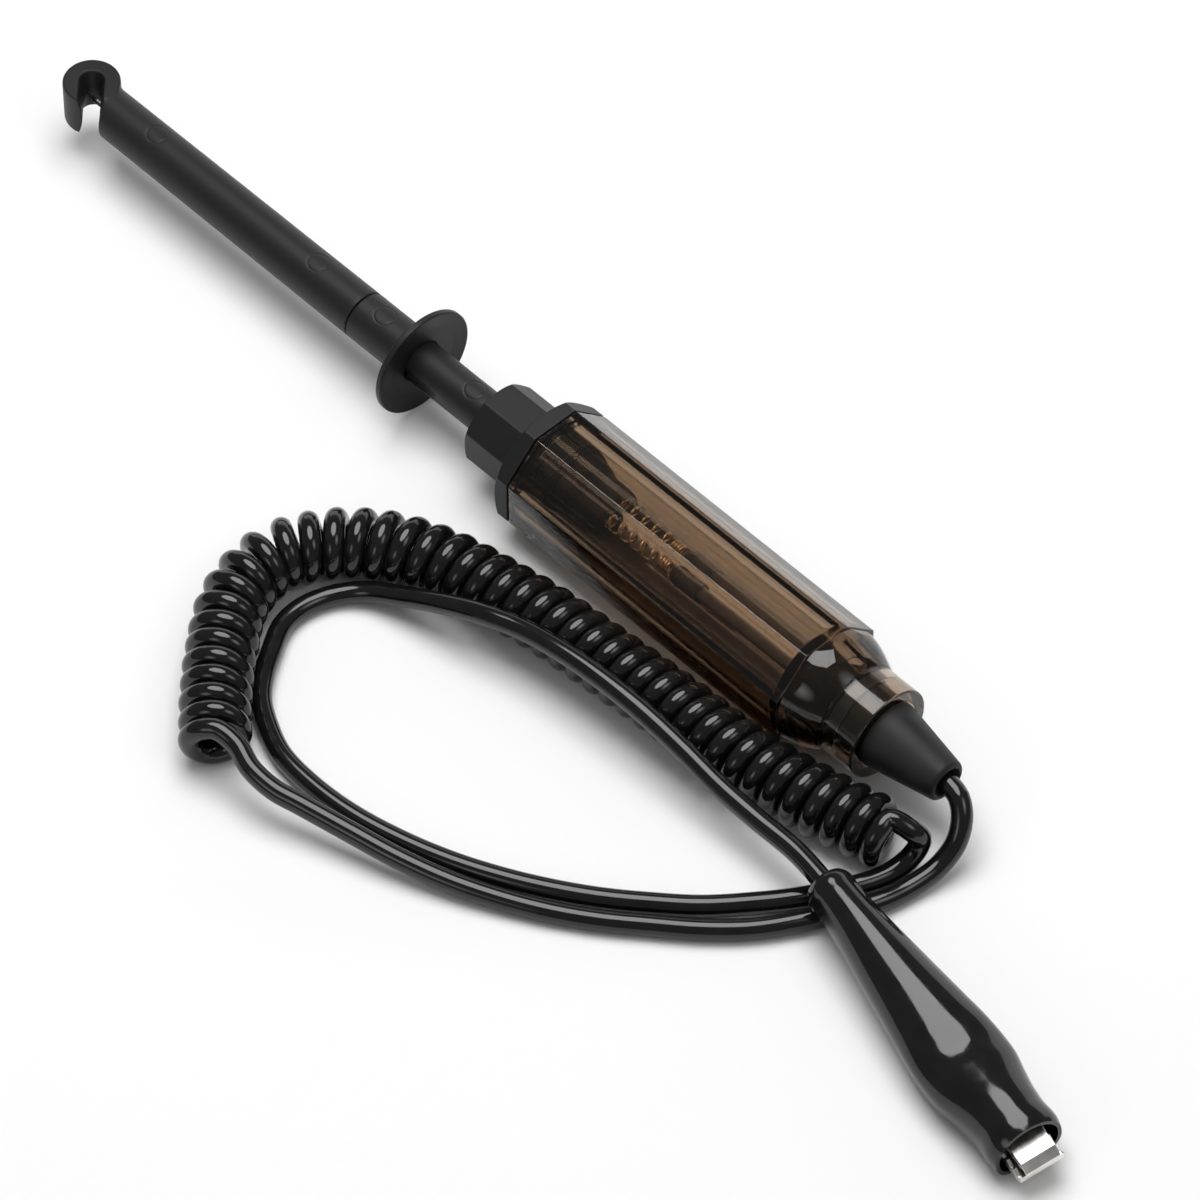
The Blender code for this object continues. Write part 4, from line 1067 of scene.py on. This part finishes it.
@dataclass
class ClearBody:
    """Thick smoke brown handle: an octagon, then a round shoulder, a groove and a neck."""

    at: Stations
    section: Octagon
    clear_len: float = 66.0 * MM
    step: float = 0.22 * MM
    edge: float = 0.25 * MM
    crest: float = 0.2 * MM
    shoulder_len: float = 7.3 * MM
    shoulder_r: float = 11.52 * MM
    shoulder_lean: float = 0.4
    groove_r: float = 8.95 * MM
    neck_r: float = 8.8 * MM
    bore_r: float = 8.5 * MM
    neck_bore_r: float = 6.6 * MM
    seat_back: float = 3.0 * MM
    seat_len: float = 2.0 * MM
    rib_r: float = 7.6 * MM

    def rear(self, cut: float) -> Array:
        """Profile behind the cut: a dome, a groove and the neck.

        The dome's radius falls with the station and with its square.
        """
        share = np.linspace(0, 1, 56)
        fall = self.shoulder_lean * share + (1 - self.shoulder_lean) * share**2
        radius = self.shoulder_r - (self.shoulder_r - self.groove_r) * fall
        groove, end = cut + self.shoulder_len, self.at.neck
        neck = rounded([
            (groove, self.groove_r), (groove + 0.12 * MM, self.groove_r - 0.22 * MM, 0.1 * MM),
            (groove + 0.4 * MM, self.neck_r, 0.15 * MM), (end, self.neck_r, 0.35 * MM),
            (end, self.neck_bore_r, 0.2 * MM), (end - 2 * MM, self.neck_bore_r),
        ])
        return np.concatenate([np.stack([cut + self.shoulder_len * share, radius], 1), neck[1:]])

    def bore(self, start: float, seat: float) -> Array:
        """Profile of the bore from the neck, past the grommet's rib and the seat, to the mouth."""
        rib = self.at.neck - RIB_SETBACK - RIB_LEN
        rib_end = rib + RIB_LEN + GAP
        return rounded([
            (self.at.neck - 3 * MM, self.neck_bore_r),
            (rib_end, self.neck_bore_r), (rib_end, self.rib_r, 0.1 * MM),
            (rib - GAP, self.rib_r, 0.1 * MM), (rib - GAP, self.neck_bore_r),
            (seat + self.seat_len, self.neck_bore_r, 0.8 * MM), (seat, self.bore_r, 0.8 * MM),
            (start + 0.3 * MM, self.bore_r), (start, self.bore_r + 0.3 * MM),
        ])

    def build(self) -> Object:
        """Carry the outer form to the neck's end, then the bore back to the mouth.

        The octagon ends in a flat cut with a fine step. Behind it the outer radius is the
        smaller of the stepped octagon's and the dome's.

        Returns:
            The handle.
        """
        angle = self.section.angles(BODY_FLATS)
        start, cut = self.at.body + GAP, self.at.body + self.clear_len
        octagon = self.section.radius(angle, BODY_FLATS)
        stepped = self.section.radius(angle, BODY_FLATS - 2 * self.step)
        inset, fillet = 0.1 * MM, 0.05 * MM
        rows = self.section.edge_rows(angle, BODY_FLATS, start, -self.edge)[::-1]
        flat = np.linspace(start + self.edge + inset, cut - self.crest - inset, 24)
        rows += [(x, octagon) for x in flat]
        rows += self.section.edge_rows(angle, BODY_FLATS, cut, self.crest)
        rows += [(x, soft_smaller(stepped, r, fillet)) for x, r in self.rear(cut)]
        rows += round_rows(self.bore(start, cut - self.seat_back), angle)
        obj = ring_of(rows, angle, self.at.axis_z).to_object("smoke_handle", sharp=30)
        return dress(obj, SMOKE, Body.HANDLE, "clear_body")


@dataclass
class StrainRelief:
    """Rubber grommet in the handle's neck that ends in a cone round the lead."""

    at: Stations
    plug_r: float = 6.3 * MM
    rib_r: float = 7.3 * MM
    end_r: float = 3.9 * MM
    lip_r: float = 2.9 * MM
    setback: float = 1.5 * MM

    def build(self) -> Object:
        """Turn the grommet, its rib, the straight cone and the rounded end with its recess."""
        rib = self.at.neck - RIB_SETBACK - RIB_LEN
        front, end = self.at.grommet + self.setback, self.at.cone
        outline = rounded([
            (front, CORD_HOLE_R), (front, self.plug_r, 0.8 * MM),
            (rib, self.plug_r), (rib, self.rib_r, 0.15 * MM),
            (rib + RIB_LEN, self.rib_r, 0.15 * MM), (rib + RIB_LEN, self.plug_r),
            (self.at.neck + GAP, self.plug_r, 0.4 * MM),
            (end, self.end_r - 0.1 * MM, 1.0 * MM), (end, self.lip_r, 0.3 * MM),
            (end - 1.6 * MM, CORD_HOLE_R),
        ], steps=8, loop=True)
        points = revolved(outline, self.at.axis_z, 192)
        obj = Shape.from_rows(points, ring=True).to_object("rubber_strain_relief")
        return dress(obj, RUBBER, Body.HANDLE, "strain_relief")


@dataclass(frozen=True)
class Spring:
    """Round wire wound round the tester's axis, with closed turns at its ends."""

    name: str
    node: str
    finish: Finish
    wire_r: float
    closed: tuple[int, int]
    open_turns: int
    pitch: float = 2.06
    per_turn: int = 30
    sides: int = 10

    def build(self) -> Object:
        """Wind the wire between the ends of the CAD node's box.

        The station of a point grows by the wire's own width for each closed turn and by an
        equal share of what is left for each open one; y and z follow a circle.

        Returns:
            The spring.
        """
        low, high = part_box(self.node)
        radius = (high.z - low.z) / 2 - self.wire_r
        axis = (high.z + low.z) / 2
        tight = self.pitch * self.wire_r
        length = high.x - low.x - 2 * self.wire_r
        free = length - tight * sum(self.closed)
        knots = summed([self.closed[0], self.open_turns, self.closed[1]])
        runs = summed([tight * self.closed[0], free, tight * self.closed[1]])
        turn = np.linspace(0, knots[-1], int(knots[-1] * self.per_turn) + 1)
        x = np.interp(turn, knots, low.x + self.wire_r + runs)
        path = np.stack([x, radius * np.cos(TAU * turn), axis + radius * np.sin(TAU * turn)], 1)
        obj = Shape.from_rows(swept(path, self.wire_r, self.sides)).to_object(self.name)
        return dress(obj, self.finish, Body.HANDLE, self.node)


@dataclass
class Insides:
    """The needle, the lamp, the contacts and the lead's end that are held inside."""

    edge: float = 0.08 * MM
    turned: tuple = (
        ("needle", "piercing_needle", STEEL, Body.SLIDER),
        ("needle_rod", "brass_needle_rod", BRASS, Body.SLIDER),
        ("cross_pin", "steel_cross_pin", STEEL, Body.SLIDER),
        ("front_contact", "brass_contact_disc", BRASS, Body.HANDLE),
        ("lamp_cap_front", "lamp_end_front", NICKEL, Body.HANDLE),
        ("lamp_cap_rear", "lamp_end_rear", NICKEL, Body.HANDLE),
        ("lamp_glass", "lamp_bulb", GLASS, Body.HANDLE),
        ("lead_terminal", "lead_end_sleeve", FERRULE, Body.HANDLE),
        ("inner_lead", "lead_in_handle", SHEATH, Body.HANDLE),
    )
    contact: Spring = Spring(
        "brass_contact_spring", "contact_spring", BRASS, 0.3 * MM, (3, 4), 5)
    rebound: Spring = Spring(
        "steel_return_spring", "return_spring", STEEL, 0.28 * MM, (1, 1), 11)

    def build(self) -> None:
        """Carry the turned pieces over from the frame and wind the two springs.

        In the tester the return spring's front end moves with the rod, so it shortens by the
        travel; here it is wound at one length and only given a mesh of its own.
        """
        for node, name, finish, body in self.turned:
            carried_over(node, name, finish, body, self.edge)
        self.contact.build()
        low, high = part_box(self.rebound.node)
        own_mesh(self.rebound.build())


@dataclass
class CurlyLead:
    """The whole lead: out of the strain relief, round its curly stretch and to the clip."""

    at: Stations
    cord_r: float = 1.9 * MM
    coil_r: float = 6.3 * MM
    turns: int = 42
    split: float = 3.0 * MM
    step: float = 1.0 * MM
    fine_step: float = 0.2 * MM
    window: int = 60
    fan: float = 0.7
    per_turn: int = 36
    sides: int = 20
    coil_route: tuple = (
        (16.7, -80.4), (14.8, -78.6), (10.9, -75.1), (7.4, -71.6), (4.1, -68.1), (1.1, -64.5),
        (-2.0, -60.8), (-4.5, -56.7), (-6.0, -52.6), (-6.7, -48.1), (-6.4, -44.2), (-5.0, -41.0),
        (-3.0, -37.4), (-0.3, -34.0), (2.8, -31.3), (6.4, -28.8), (15.0, -25.2), (25.8, -22.9),
        (34.2, -21.4), (46.0, -20.3), (65.7, -18.9), (80.4, -18.1), (95.0, -15.6), (108.3, -12.2),
    )
    lead_a_route: tuple = (
        (113.2, -0.6, 10.9), (115.6, -2.2, 8.9), (116.9, -4.8, 5.8), (117.0, -9.0, 3.2),
        (116.2, -14.7, 2.0), (114.8, -20.8, 2.0), (109.2, -32.2, 2.0), (104.5, -39.7, 2.0),
        (98.7, -46.0, 2.0), (92.2, -51.6, 2.0), (85.6, -57.0, 2.0), (78.6, -61.8, 2.1),
        (71.0, -66.1, 2.4), (63.1, -69.9, 3.0), (54.4, -73.2, 4.0), (45.3, -75.9, 5.2),
        (35.9, -78.6, 6.4), (31.2, -80.1, 7.2), (26.0, -80.6, 8.6), (21.3, -79.6, 10.0),
    )
    lead_b_route: tuple = (
        (112.2, -10.3, 9.3), (112.9, -9.2, 7.4), (112.9, -9.8, 5.2), (112.6, -11.8, 3.4),
        (112.0, -14.6, 2.3), (111.3, -17.2, 2.0), (109.9, -20.8, 2.0), (105.0, -29.8, 2.0),
        (100.5, -36.1, 2.0), (95.1, -42.6, 2.0), (89.0, -48.2, 2.0), (82.4, -53.6, 2.0),
        (75.3, -58.4, 2.0), (67.7, -62.7, 2.0), (59.6, -66.4, 2.0), (50.7, -69.4, 2.0),
        (40.7, -71.6, 2.0), (31.4, -72.2, 2.0), (23.2, -71.4, 2.0), (16.8, -68.8, 2.0),
        (12.1, -65.9, 2.0), (8.6, -62.2, 2.0), (5.6, -57.8, 2.0), (2.4, -52.0, 2.0),
        (2.0, -46.9, 2.0), (3.8, -41.4, 2.1), (7.5, -37.4, 2.9), (13.8, -34.7, 4.9),
        (21.8, -32.4, 8.0), (28.8, -30.5, 10.0), (36.6, -28.3, 10.9), (45.5, -27.2, 11.7),
        (54.9, -26.6, 11.9), (64.4, -26.3, 11.4), (74.0, -26.3, 10.1), (83.0, -26.6, 8.8),
        (91.7, -26.6, 8.2), (100.9, -26.6, 8.1),
    )

    def coil(self) -> Array:
        """Wind the curly stretch round its middle line.

        The pitch is even along the straight and wider where the middle line bends, so the
        turns open like a fan. A point is the middle line's point plus the winding radius
        times up times the angle's cosine, less sideways times its sine.

        Returns:
            The points of the coiled stretch.
        """
        route = np.array(self.coil_route) * MM
        level = np.full(len(route), self.coil_r + 0.05 * MM)
        middle = smooth_curve(np.column_stack([route, level]), self.fine_step)
        ahead = headings(middle)
        heading = np.unwrap(np.arctan2(ahead[:, 1], ahead[:, 0]))
        even = np.ones(self.window) / self.window
        bend = np.abs(np.convolve(np.gradient(heading) / self.fine_step, even, mode="same"))
        winding_r = self.coil_r - self.cord_r
        rate = 1 / (1 + bend * winding_r * self.fan)
        turn = summed((rate[1:] + rate[:-1]) / 2)
        turn *= self.turns / turn[-1]
        fine = np.linspace(0, self.turns, self.turns * self.per_turn + 1)
        side = np.cross(between(fine, turn, ahead), (0.0, 0.0, 1.0))
        angle = TAU * fine[:, None]
        around = np.array([0, 0, 1.0]) * np.cos(angle) - side * np.sin(angle)
        return between(fine, turn, middle) + winding_r * around

    def path(self, clip: "SpringClip") -> Array:
        """Middle line of the whole lead, from inside the strain relief to the clip's crimp."""
        start = self.at.cone - self.split + GAP
        leave = np.array([(x, 0, self.at.axis_z) for x in (start, self.at.cone)])
        coil = self.coil()
        route_a, route_b = np.array(self.lead_a_route) * MM, np.array(self.lead_b_route) * MM
        first = np.concatenate([leave, route_a, coil[:1], coil[6:13:6]])
        last = np.concatenate([coil[-13:-6:6], coil[-1:], route_b, clip.lead_ends()])
        lead_a, lead_b = smooth_curve(first, self.step), smooth_curve(last, self.step)
        entry = np.linalg.norm(lead_a - coil[0], axis=1).argmin()
        leaving = np.linalg.norm(lead_b - coil[-1], axis=1).argmin()
        return np.concatenate([lead_a[:entry], coil, lead_b[leaving + 1:]])

    def build(self, clip: "SpringClip") -> Object:
        """Args:
            clip: The clip at the lead's far end, already built.

        Returns:
            The lead.
        """
        path = self.path(clip)
        rings = swept(path, self.cord_r, self.sides)
        obj = Shape.from_rows(rings).to_object("curly_lead_cord", sharp=80)
        dress(obj, VINYL, Body.HANDLE, "lead_a", "curly_cord", "lead_b")
        return obj


@dataclass
class SpringClip:
    """Booted spring clip at the lead's far end.

    Each row of the form gives the share of the boot's length, the half width and the
    heights above and below the middle in mm.
    """

    tail: tuple = (109.9 * MM, -28.0 * MM, 8.1 * MM)
    turn: float = math.radians(-12.1)
    tilt: float = math.radians(1.9)
    roll: float = math.radians(9.0)
    length: float = 61.0 * MM
    wall: float = 0.7 * MM
    crimp_at: float = 8.0 * MM
    sides: int = 120
    corner_fill: float = 0.28
    fill_share: float = 0.35
    hole_share: float = 0.10
    bend_slope: float = 0.182
    bend_low: float = 6.2 * MM
    bend_high: float = 15.6 * MM
    pieces: list = field(default_factory=list)
    form: tuple = (
        (0.000, 3.90, 4.50, 3.60), (0.012, 4.25, 4.95, 3.90), (0.050, 4.30, 5.25, 4.05),
        (0.100, 4.40, 5.40, 4.15), (0.330, 5.90, 5.42, 5.30), (0.520, 7.30, 5.38, 6.15),
        (0.600, 7.90, 5.18, 6.42), (0.640, 8.08, 4.90, 6.47), (0.670, 8.15, 4.80, 6.50),
        (0.740, 8.05, 5.30, 6.40), (0.800, 7.35, 5.76, 5.95), (0.860, 6.75, 6.16, 5.48),
        (0.910, 6.55, 6.26, 5.15), (0.985, 6.65, 6.05, 5.10), (1.000, 6.35, 5.80, 4.85),
    )
    carried: tuple = (
        ("lower_jaw", "folded_lower_jaw", NICKEL, Body.HANDLE, 0.12 * MM),
        ("upper_jaw", "folded_upper_jaw", NICKEL, Body.CLIP_JAW, 0.12 * MM),
        ("jaw_pin", "jaw_rivet", STEEL, Body.HANDLE, 0.1 * MM),
        ("jaw_spring", "jaw_closing_spring", STEEL, Body.HANDLE, 0.0),
    )

    def frame(self) -> Matrix:
        """Frame of the clip: x along it from the boot's tail, z up."""
        turned = Matrix.Rotation(self.turn, 4, "Z") @ Matrix.Rotation(self.tilt, 4, "Y")
        return Matrix.Translation(self.tail) @ turned @ Matrix.Rotation(self.roll, 4, "X")

    def lead_ends(self) -> Array:
        """Last two points of the lead, inside the boot."""
        ends = (-1.0 * MM, self.crimp_at + 2 * MM)
        return np.array([self.frame() @ Vector((x, 0, 0)) for x in ends])

    def rings(self, share: Array, inset: float) -> Array:
        """Sections of the boot: ovals whose lower corners fill out towards the mouth.

        Across is the half width times the sign and a power of the cosine of the angle, and
        up is the height above or below the middle times that of its sine.

        Args:
            share: Shares of the boot's length.
            inset: How far the section lies inside the outer form.

        Returns:
            Grid of points in the clip's frame.
        """
        table = np.array(self.form)
        sizes = eased(table[:, 0], table[:, 1:], share) * MM - inset
        half_w, above, below = sizes.T[:, :, None]
        cos, sin = np.cos(spokes(self.sides)), np.sin(spokes(self.sides))
        fill = self.corner_fill * np.clip(share / self.fill_share, 0, 1)[:, None]
        square = np.where(sin > 0, 1, 1 - fill)
        across = half_w * np.sign(cos) * np.abs(cos) ** square
        up = np.where(sin > 0, above, below) * np.sign(sin) * np.abs(sin) ** square
        return np.stack([share[:, None] * self.length + 0 * across, across, up], -1)

    def boot(self) -> Object:
        """Close the boot's outer skin, its lip, its inner wall and the hole for the lead.

        Returns:
            The boot.
        """
        shares = np.concatenate([np.linspace(0, 0.02, 5), np.linspace(0.03, 1, 110)])
        outer = self.rings(shares, 0)
        inner = self.rings(np.linspace(1, self.hole_share, 50), self.wall)
        angle = spokes(self.sides)
        hole = np.stack([0 * angle, np.cos(angle), np.sin(angle)], 1) * CORD_HOLE_R
        passage = [hole + (share * self.length, 0, 0) for share in (self.hole_share, 0.0)]
        frame = self.frame()
        turn = np.array(frame)
        points = np.concatenate([outer, inner, passage]) @ turn[:3, :3].T + turn[:3, 3]
        obj = Shape.from_rows(points, ring=True).to_object("vinyl_clip_boot", sharp=50)
        dress(obj, VINYL, None, "clip_boot")
        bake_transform(obj)
        return obj

    def build(self) -> None:
        """Build the boot and carry the jaws, their rivet and their spring over."""
        self.pieces = [self.boot(), *(carried_over(*row) for row in self.carried)]


def facing(obj: Object, aim: tuple, away: Vector, distance: float) -> Object:
    """Place an object at a distance from its aim and turn it to face it."""
    obj.location = Vector(aim) + away * distance
    obj.rotation_euler = away.to_track_quat("Z", "Y").to_euler()
    return obj


def staged_sheet(name: str, corners: list, graph: Graph) -> Object:
    """Make a flat sheet of the studio with a material."""
    mesh = bpy.data.meshes.new(name)
    mesh.from_pydata(corners, [], [tuple(range(len(corners)))])
    mesh.materials.append(graph.material)
    obj = linked(name, mesh)
    obj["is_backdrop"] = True
    return obj


@dataclass
class Softbox:
    """Rectangular lamp that faces the tester from a direction, as a softbox does."""

    name: str
    direction: tuple
    distance: float
    width: float
    height: float
    power: float
    mirrored: bool = True
    aim: tuple = (0.05, -0.02, 0.01)

    def build(self) -> None:
        """Place the lamp and turn it to its aim."""
        lamp = bpy.data.lights.new(self.name, "AREA")
        lamp.shape = "RECTANGLE"
        lamp.size = self.width
        lamp.size_y = self.height
        lamp.energy = self.power
        away = Vector(self.direction).normalized()
        obj = facing(linked(self.name, lamp), self.aim, away, self.distance)
        obj.visible_camera = False
        obj.visible_glossy = self.mirrored


@dataclass
class GlowSheet:
    """Eight-sided glowing sheet, whose outline shows in glossy pieces as an octabox's does."""

    name: str
    direction: tuple
    radius: float
    strength: float
    soft: bool = False
    distance: float = 0.9
    aim: tuple = (0.035, -0.01, 0.01)

    def build(self) -> None:
        """Make the sheet, hidden from the camera and throwing no shadow."""
        away = Vector(self.direction).normalized()
        middle = Vector(self.aim) + away * self.distance
        place = Matrix.Translation(middle) @ away.to_track_quat("Z", "Y").to_matrix().to_4x4()
        graph = Graph(f"{self.name}_glow")
        graph.set(Base_Color=(0, 0, 0, 1), Emission_Color=(1, 1, 1, 1),
                  Emission_Strength=self.strength)
        if self.soft:
            off_middle = graph.tree.nodes.new("ShaderNodeVectorMath")
            off_middle.operation = "DISTANCE"
            graph.tree.links.new(graph.place, off_middle.inputs[0])
            off_middle.inputs[1].default_value = middle
            ends = (self.strength, 0), (0, self.radius)
            graph.set(Emission_Strength=graph.remap(off_middle.outputs["Value"], *ends))
        rim = [(self.radius * math.cos(a), self.radius * math.sin(a), 0) for a in spokes(8)]
        corners = [place @ Vector(point) for point in rim]
        obj = staged_sheet(self.name, corners, graph)
        obj.visible_camera = False
        obj.visible_shadow = False


@dataclass
class Studio:
    """Pale floor, soft lamps and the camera at the photograph's angle."""

    azimuth: float = math.radians(46.43)
    elevation: float = math.radians(50.3)
    target: tuple = (34.5 * MM, -8.15 * MM, 0.0)
    distance: float = 1539.7 * MM
    lens: float = 270.2
    floor_size: float = 6.0
    floor_tone: tuple = (0.78, 0.78, 0.78, 1.0)
    sky: float = 0.18
    lamps: tuple = (
        GlowSheet("octabox", (-0.155, 0.065, 0.986), 0.395, 6.0),
        GlowSheet("right_bounce", (0.62, 0.13, 0.76), 0.30, 3.5, soft=True),
        GlowSheet("front_bounce", (0.11, -0.88, 0.46), 0.26, 2.5, soft=True),
        Softbox("rear_panel", (-0.55, 0.83, 0.14), 1.3, 2.2, 0.9, 6.0),
        Softbox("ceiling_fill", (0.0, 0.0, 1.0), 1.2, 2.4, 2.4, 7.0, mirrored=False),
    )

    def floor(self) -> None:
        """Pale sheet that the tester lies on."""
        half = self.floor_size / 2
        corners = [(-half, -half, 0), (half, -half, 0), (half, half, 0), (-half, half, 0)]
        graph = Graph("pale_paper")
        graph.set(Base_Color=self.floor_tone, Roughness=0.9, Specular_IOR_Level=0.1)
        staged_sheet("floor", corners, graph)

    def world(self) -> None:
        """Even sky that the camera sees as white and that lights the tester gently."""
        world = bpy.data.worlds.new("studio")
        world.use_nodes = True
        tree = world.node_tree
        back = tree.nodes["Background"]
        back.inputs["Color"].default_value = (1, 1, 1, 1)
        rays = tree.nodes.new("ShaderNodeLightPath")
        level = tree.nodes.new("ShaderNodeMapRange")
        level.inputs["To Min"].default_value = self.sky
        level.inputs["To Max"].default_value = 1.0
        tree.links.new(rays.outputs["Is Camera Ray"], level.inputs["Value"])
        tree.links.new(level.outputs["Result"], back.inputs["Strength"])
        bpy.context.scene.world = world

    def camera(self) -> None:
        """Long lens that looks down at the tester from its clip's side."""
        cos, sin = math.cos(self.elevation), math.sin(self.elevation)
        back = Vector((math.sin(self.azimuth) * cos, -math.cos(self.azimuth) * cos, sin))
        data = bpy.data.cameras.new("camera")
        data.lens = self.lens
        data.sensor_width = 36
        bpy.context.scene.camera = facing(linked("camera", data), self.target, back, self.distance)

    def build(self) -> None:
        """Set up the floor, the sky, the camera and the lamps."""
        self.floor()
        self.world()
        self.camera()
        for lamp in self.lamps:
            lamp.build()
        bpy.context.scene.view_settings.view_transform = "Standard"


def write_sizes(before: tuple, after: tuple) -> None:
    """Gather the CAD model's box and the visual model's box into one table, which is not written
    anywhere.

    Args:
        before: Lowest and highest corner straight after loading.
        after: The same once everything is built.
    """
    boxes = {"cad": before, "visual": after}
    boxes = {name: [list(corner) for corner in box] for name, box in boxes.items()}


def main() -> None:
    """Build every sub-assembly in order and report each piece."""
    logging.basicConfig(level=logging.INFO, format="%(name)s: %(message)s")
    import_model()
    cad_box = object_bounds()
    Studio().build()
    at = Stations.from_frame()
    clip = SpringClip()
    clip.build()
    CurlyLead(at).build(clip)
    for piece in (
        ProbeTube(at), GuideTube(at), FlangeSleeve(at), FrontCap(at, Octagon()),
        ClearBody(at, Octagon()), StrainRelief(at), Insides(),
    ):
        piece.build()
    write_sizes(cad_box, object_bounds())


if __name__ == "__main__":
    main()
